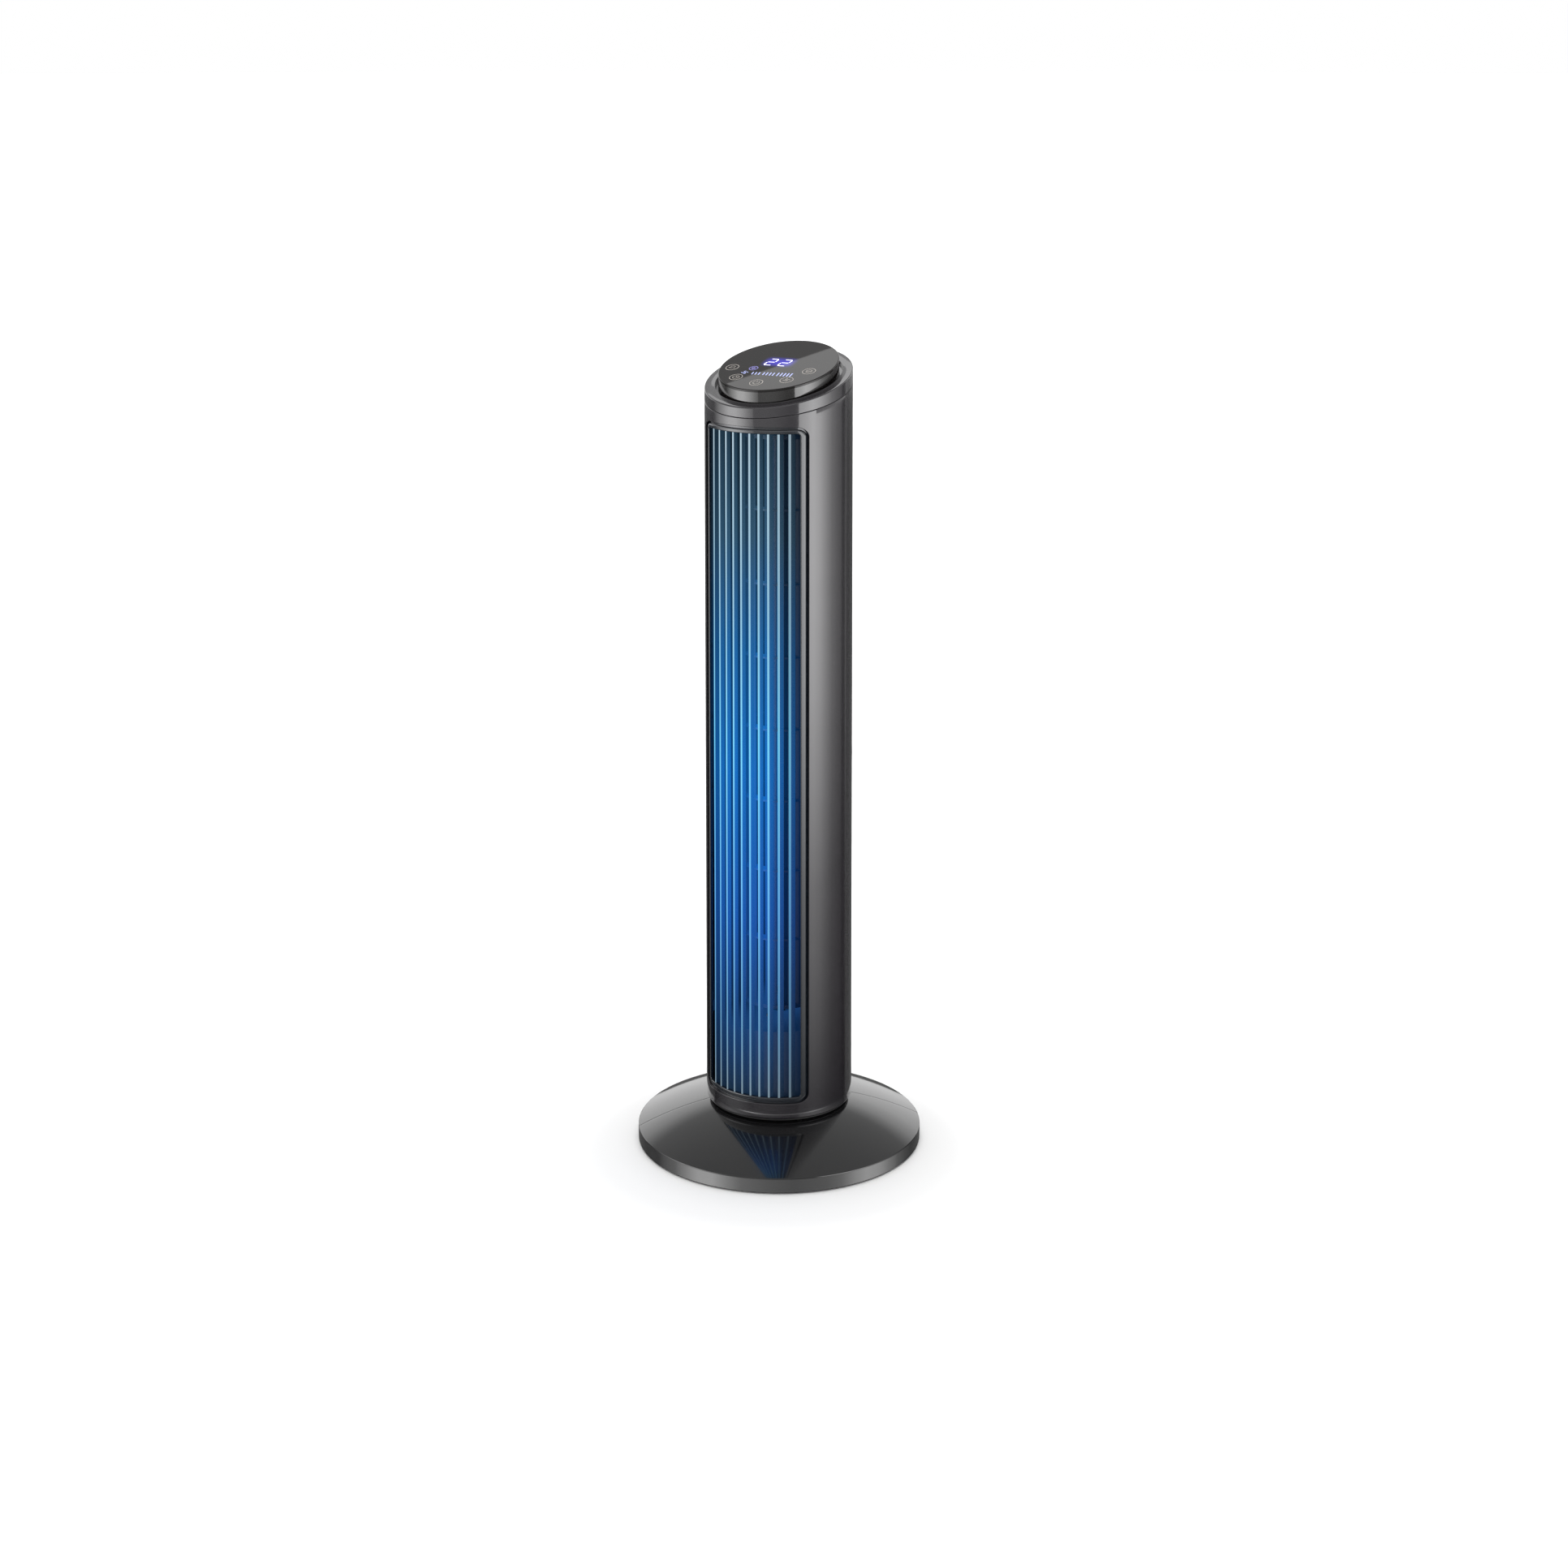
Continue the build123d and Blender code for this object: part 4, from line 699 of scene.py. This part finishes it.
# ---- panel markings, a hair above the glass ----
# lift: height of a marking's top above the glass; ink: its thickness
panel = dict(topZ=874.6, tilt=16.3, lift=0.07, ink=0.05, keyRadius=6.9, keyStroke=0.6, iconStroke=0.5,
             keys=[(-47.9, -13.4), (-31.6, -36.0), (-2.7, -45.7), (27.1, -34.9), (41.0, -10.9)],
             digits=[(-11.3, 5.2), (4.8, 5.2)], digitHeight=15.0, digitWidth=8.6,
             digitStroke=1.25, digitLean=0.16, digitGap=0.12,
             modeAt=(-23.2, -12.3), modeReach=3.2, modeStroke=0.55, windAt=(-27.7, -23.6),
             bars=[(-17.9, 5.4), (-14.1, 5.6), (-10.3, 5.8), (-5.1, 6.4), (-1.3, 6.6), (2.5, 6.8), (6.2, 7.0),
                   (11.2, 7.6), (15.1, 7.8), (18.9, 8.0), (22.6, 8.2), (26.3, 8.4)],
             barFoot=-27.0, barWidth=1.25)


def panelPoint(u, v, lift=0.0):
    # plan coordinates on the slanted glass
    u, v = np.broadcast_arrays(np.asarray(u, float), np.asarray(v, float))
    return np.stack([u, v, planeZ(panel["topZ"], panel["tilt"], v) + lift], -1)


class Ink(Skin):
    # thin raised strokes on the panel
    def stroke(self, u, v, width, closed=False):
        # a flat bar of even width along a line of points, by offsetting each point across its direction
        line = np.stack([u, v], -1).astype(float)
        if closed:
            way = np.roll(line, -1, 0) - np.roll(line, 1, 0)
        else:
            way = np.gradient(line, axis=0)
        way /= np.maximum(np.linalg.norm(way, axis=1, keepdims=True), 1e-9)
        across = np.stack([-way[:, 1], way[:, 0]], -1) * width / 2
        low, high = panel["lift"] - panel["ink"], panel["lift"]
        rows = np.array([panelPoint(*(line + k * across).T, lift)
                         for k, lift in ((1.0, high), (-1.0, high), (-1.0, low), (1.0, low))])
        self.grid(rows, aroundRows=True, aroundColumns=closed)
        if not closed:
            self.cap(rows[:, 0]).cap(rows[:, -1])
        return self

    def bar(self, u0, v0, u1, v1, width):
        return self.stroke(np.array([u0, u1]), np.array([v0, v1]), width)

    def arc(self, centre, radius, start, end, width):
        turn = np.radians(np.linspace(start, end, max(6, int(abs(end - start) / 9))))
        return self.stroke(centre[0] + radius * np.sin(turn), centre[1] + radius * np.cos(turn), width)

    def ring(self, centre, radius, width):
        turn = np.linspace(0.0, 2 * np.pi, 49)[:-1]
        u, v = centre[0] + radius * np.sin(turn), centre[1] + radius * np.cos(turn)
        return self.stroke(u, v, width, True)

    def blades(self, centre, radius, count, width):
        # a small fan: curved strokes from the middle
        t = np.linspace(0.14, 1.0, 8)
        for i in range(count):
            turn = 2 * np.pi * i / count + 1.5 * t
            self.stroke(centre[0] + radius * t * np.sin(turn), centre[1] + radius * t * np.cos(turn), width)
        return self


def makeKeys(s):
    # a ring with a plain icon for each of swing, timer, power, speed and mode
    ink = Ink()
    for centre in s["keys"]:
        ink.ring(centre, s["keyRadius"], s["keyStroke"])
    swing, timer, power, speed, mode = s["keys"]
    fine = s["iconStroke"]
    (u, v), reach, drop = swing, 3.6, 1.4
    ink.arc(swing, 3.2, -60, 60, fine).bar(u - reach, v - drop, u + reach, v - drop, fine)
    for side in (-1.0, 1.0):
        ink.bar(u + side * reach, v - drop, u + side * 2.0, v - 0.1, fine)
    u, v = timer
    ink.ring(timer, 3.5, fine).bar(u, v, u, v + 2.6, fine).bar(u, v, u + 1.9, v, fine)
    u, v = power
    ink.arc(power, 3.4, 38, 322, fine).bar(u, v + 0.6, u, v + 4.2, fine)
    ink.blades(speed, 4.0, 4, 0.6)
    u, v = mode
    ink.ring(mode, 3.2, fine).bar(u - 3.4, v, u + 3.4, v, fine)
    return ink.build("keyIcons", "column", "light_blue", "print_white")


def makeDisplay(s):
    # two digits of straight strokes, the row of level bars and the two small lit symbols
    ink = Ink()
    h, w, lean, gap = (s[key] for key in ("digitHeight", "digitWidth", "digitLean", "digitGap"))
    near, far = gap - 1, 1 - gap
    strokes = [(near, 1, far, 1), (1, far, 1, gap), (near, 0, far, 0),
               (-1, -gap, -1, near), (near, -1, far, -1)]
    for u, v in s["digits"]:
        at = lambda x, y: (u + x * w / 2 + lean * y * h / 2, v + y * h / 2)
        for x0, y0, x1, y1 in strokes:
            ink.bar(*at(x0, y0), *at(x1, y1), s["digitStroke"])
    ink.build("clockDigits", "column", "light_blue", "digit_light")
    ink = Ink()
    for u, height in s["bars"]:
        ink.bar(u, s["barFoot"], u - 0.4, s["barFoot"] + height, s["barWidth"])
    ink.blades(s["windAt"], 3.8, 4, 0.7)
    ink.build("levelBars", "column", "light_blue", "level_light")
    ink = Ink()
    u, v, reach = *s["modeAt"], s["modeReach"]
    ink.ring((u, v), reach * 1.45, s["modeStroke"])
    for turn in np.radians([0.0, 60.0, 120.0]):
        across, along = reach * math.sin(turn), reach * math.cos(turn)
        ink.bar(u - across, v - along, u + across, v + along, s["modeStroke"])
    return ink.build("modeSymbol", "column", "light_blue", "mode_light")


makeOutletFrame(outlet)
makeOutletBars(outlet)
makeColumnFront(front)
makeTopCap(cap)
makeBaseFront(base)
makeKeys(panel)
makeDisplay(panel)
print("pieces made")


# ---- floor, light and camera ----
# cards: brightness by angle from the column's front, in degrees, times a share by height, in metres
sideRise = [(0.04, 0.35), (0.19, 0.6), (0.34, 0.83), (0.5, 0.94), (0.78, 1.0)]
stage = dict(
    floorReach=60.0, floorGrey=0.9, floorLift=(0.19, 0.32), floorCentre=(0.01, -0.03), floorGlow=0.35,
    sky=[(-0.4, 0.1), (-0.138, 0.1), (-0.105, 0.85), (0.0, 0.97), (0.33, 1.2), (0.45, 1.0), (0.56, 0.45),
         (1.0, 0.42)],
    sunFrom=(-0.05, 0.12, 1.0), sunStrength=2.0, sunSpread=50.0,
    cards=dict(
        leftCard=dict(
            radius=0.95, up=[(-0.34, 0.1), (-0.17, 0.12), *sideRise],
            across=[(-92, 0.1), (-85, 0.35), (-77, 1.0), (-65, 2.2), (-53, 3.9), (-41, 4.3), (-29, 3.3),
                    (-17, 1.8), (-11, 1.2)]),
        frontCard=dict(
            radius=0.95, up=[(-0.34, 0.28), (-0.2, 0.5), (0.0, 0.8), (0.4, 1.0), (0.78, 1.0)],
            across=[(-11, 0.62), (7, 0.67), (19, 0.62), (31, 0.5), (43, 0.35), (57, 0.36)]),
        rightCard=dict(
            radius=0.95, up=[(-0.34, 0.04), (-0.27, 0.08), (-0.19, 0.16), (-0.1, 0.23), *sideRise],
            across=[(57, 3.7), (67, 4.1), (79, 5.0), (91, 4.0), (103, 2.4), (115, 1.2), (127, 0.65),
                    (138, 0.35), (140, 0.12), (147, 0.12), (151, 0.42), (157, 0.42)]),
        rimStrip=dict(
            radius=0.2, up=[(-0.03, 0.88), (0.0015, 0.88)],
            across=[(-60, 0.12), (-45, 0.2), (-30, 0.9), (-22, 2.1), (-14, 3.6), (-6, 3.9), (1, 2.7),
                    (9, 1.6), (22, 1.15), (34, 0.9), (50, 1.1), (58, 1.5), (66, 2.7), (73, 3.2), (81, 2.5),
                    (89, 1.3), (98, 0.5), (106, 0.25), (115, 0.12)])),
    glassCard=dict(start=(35.7, 47.0), end=(-32.7, -51.8), beside=(45.0, -20.0), away=2.2,
                   width=0.8, spare=0.15, glow=1.3),
    camera=(1.2565, -2.4358, 1.2238), target=(0.00495, 0.00254, 0.4166), lens=59.77,
)


def addPlain(name, points, faces):
    mesh = bpy.data.meshes.new(name)
    mesh.from_pydata(points.tolist(), [], faces.tolist())
    mesh.shade_smooth()
    thing = bpy.data.objects.new(name, mesh)
    bpy.context.scene.collection.objects.link(thing)
    return thing


def paint(thing, shade):
    # gives a piece of the stage a material of its own, whose shader the function makes
    look = bpy.data.materials.new(thing.name)
    look.use_nodes = True
    tree = Tree(look.node_tree)
    tree.node("ShaderNodeOutputMaterial", None, {"Surface": shade(tree)})
    thing.data.materials.append(look)


def hideCard(card):
    # leaves a card to gloss alone
    card.visible_camera = False
    card.visible_diffuse = False
    card.visible_shadow = False


def levels(tree, amount, pairs):
    # brightness by place between the first and last pair, and the highest brightness, which scales it back
    first, last = pairs[0][0], pairs[-1][0]
    peak = max(level for place, level in pairs)
    stops = [((place - first) / (last - first), (level / peak,) * 3) for place, level in pairs]
    return tree.node("ShaderNodeValToRGB", {"stops": stops}, {"Fac": amount}), peak


def softCard(name, radius, across, up):
    # part of an upright cylinder round the object, seen only in its gloss
    columns, rows = 97, 13
    turn, rise = np.meshgrid(np.linspace(0, 1, columns), np.linspace(0, 1, rows))
    angle = across[0][0] + (across[-1][0] - across[0][0]) * turn
    height = up[0][0] + (up[-1][0] - up[0][0]) * rise
    card = addPlain(name, turnPoint(angle, radius, height).reshape(-1, 3), gridFaces(rows, columns))
    uv = card.data.uv_layers.new(name="card")
    index = np.zeros(len(card.data.loops), np.int32)
    card.data.loops.foreach_get("vertex_index", index)
    uv.data.foreach_set("uv", np.stack([turn.ravel(), rise.ravel()], -1)[index].ravel())

    def shade(tree):
        along, high = tree.parts(tree.node("ShaderNodeUVMap", {"uv_map": "card"}))[:2]
        wide, widePeak = levels(tree, along, across)
        tall, tallPeak = levels(tree, high, up)
        return tree.node("ShaderNodeEmission", None,
                         {"Color": tree.mix(1.0, wide, tall, "MULTIPLY"), "Strength": widePeak * tallPeak})

    paint(card, shade)
    hideCard(card)


def mirrored(u, v, camera, away):
    # where the camera, looking into the panel's glass at a point of it, sees things that far away
    at = Vector(panelPoint(u, v) * 0.001)
    tilt = math.radians(panel["tilt"])
    upright = Vector((0.0, -math.sin(tilt), math.cos(tilt)))
    return at + (at - Vector(camera)).normalized().reflect(upright) * away


def buildGlassCard(s, camera):
    # a sheet of light whose edge crosses the glass from one point of it to another
    first, last, beside = (mirrored(*s[key], camera, s["away"]) for key in ("start", "end", "beside"))
    along = (last - first).normalized()
    aside = beside - first
    aside = (aside - along * aside.dot(along)).normalized() * s["width"]
    first, last = first - along * s["spare"], last + along * s["spare"]
    corners = np.array([first, last, last + aside, first + aside])
    card = addPlain("glassCard", corners, np.array([[0, 1, 2, 3]]))
    paint(card, lambda tree: tree.node("ShaderNodeEmission", None,
                                       {"Color": (1.0, 1.0, 1.0), "Strength": s["glow"]}))
    hideCard(card)


def buildFloor(s):
    # pale paper, which brightens to plain white away from the object
    turn, reach = np.meshgrid(np.linspace(0, 360, 65)[:-1], [0.01, 1.0, 4.0, s["floorReach"]])
    points = turnPoint(turn, reach, 0 * turn).reshape(-1, 3)
    floor = addPlain("studioFloor", points, gridFaces(*turn.shape, aroundColumns=True))

    def shade(tree):
        across, depth = tree.parts(tree.node("ShaderNodeTexCoord", output=3))[:2]
        across, depth = across - s["floorCentre"][0], depth - s["floorCentre"][1]
        lift = (across * across + depth * depth).root().ramp(*s["floorLift"])
        return tree.node("ShaderNodeBsdfPrincipled", None,
                         {"Base Color": (s["floorGrey"],) * 3, "Roughness": 0.9, "Specular IOR Level": 0.1,
                          "Emission Color": tree.mix(lift, (0.0, 0.0, 0.0), (1.0, 1.0, 1.0)),
                          "Emission Strength": s["floorGlow"]})

    paint(floor, shade)
    floor.visible_glossy = False


def buildSky(s):
    # white where the camera sees it, and a soft band of light by height for everything else
    world = bpy.data.worlds.new("studio")
    bpy.context.scene.world = world
    world.use_nodes = True
    tree = Tree(world.node_tree)
    seen = tree.node("ShaderNodeLightPath")
    rise = tree.parts(tree.node("ShaderNodeTexCoord"))[2]
    first, last = s["sky"][0][0], s["sky"][-1][0]
    shade, peak = levels(tree, (rise - first) / (last - first), s["sky"])
    white = tree.node("ShaderNodeBackground", None, {"Color": (1.0, 1.0, 1.0), "Strength": 1.0})
    soft = tree.node("ShaderNodeBackground", None, {"Color": shade, "Strength": peak})
    sky = tree.node("ShaderNodeMixShader", None, {0: seen, 1: soft, 2: white})
    tree.node("ShaderNodeOutputWorld", None, {"Surface": sky})


def buildStage(s):
    scene = bpy.context.scene
    scene.view_settings.view_transform = "Standard"
    buildFloor(s)
    buildSky(s)
    lamp = bpy.data.lights.new("softSun", "SUN")
    lamp.energy = s["sunStrength"]
    lamp.angle = math.radians(s["sunSpread"])
    sun = bpy.data.objects.new("softSun", lamp)
    scene.collection.objects.link(sun)
    sun.rotation_euler = (-Vector(s["sunFrom"])).to_track_quat("-Z", "Y").to_euler()
    sun.visible_glossy = False
    for name, card in s["cards"].items():
        softCard(name, **card)
    buildGlassCard(s["glassCard"], s["camera"])
    eye = bpy.data.cameras.new("camera")
    eye.lens = s["lens"]
    eye.sensor_width = 36.0
    eye.clip_start, eye.clip_end = 0.05, 200.0
    camera = bpy.data.objects.new("camera", eye)
    scene.collection.objects.link(camera)
    camera.location = s["camera"]
    camera.rotation_euler = (Vector(s["target"]) - camera.location).to_track_quat("-Z", "Y").to_euler()
    scene.camera = camera


buildStage(stage)
print("stage ready")
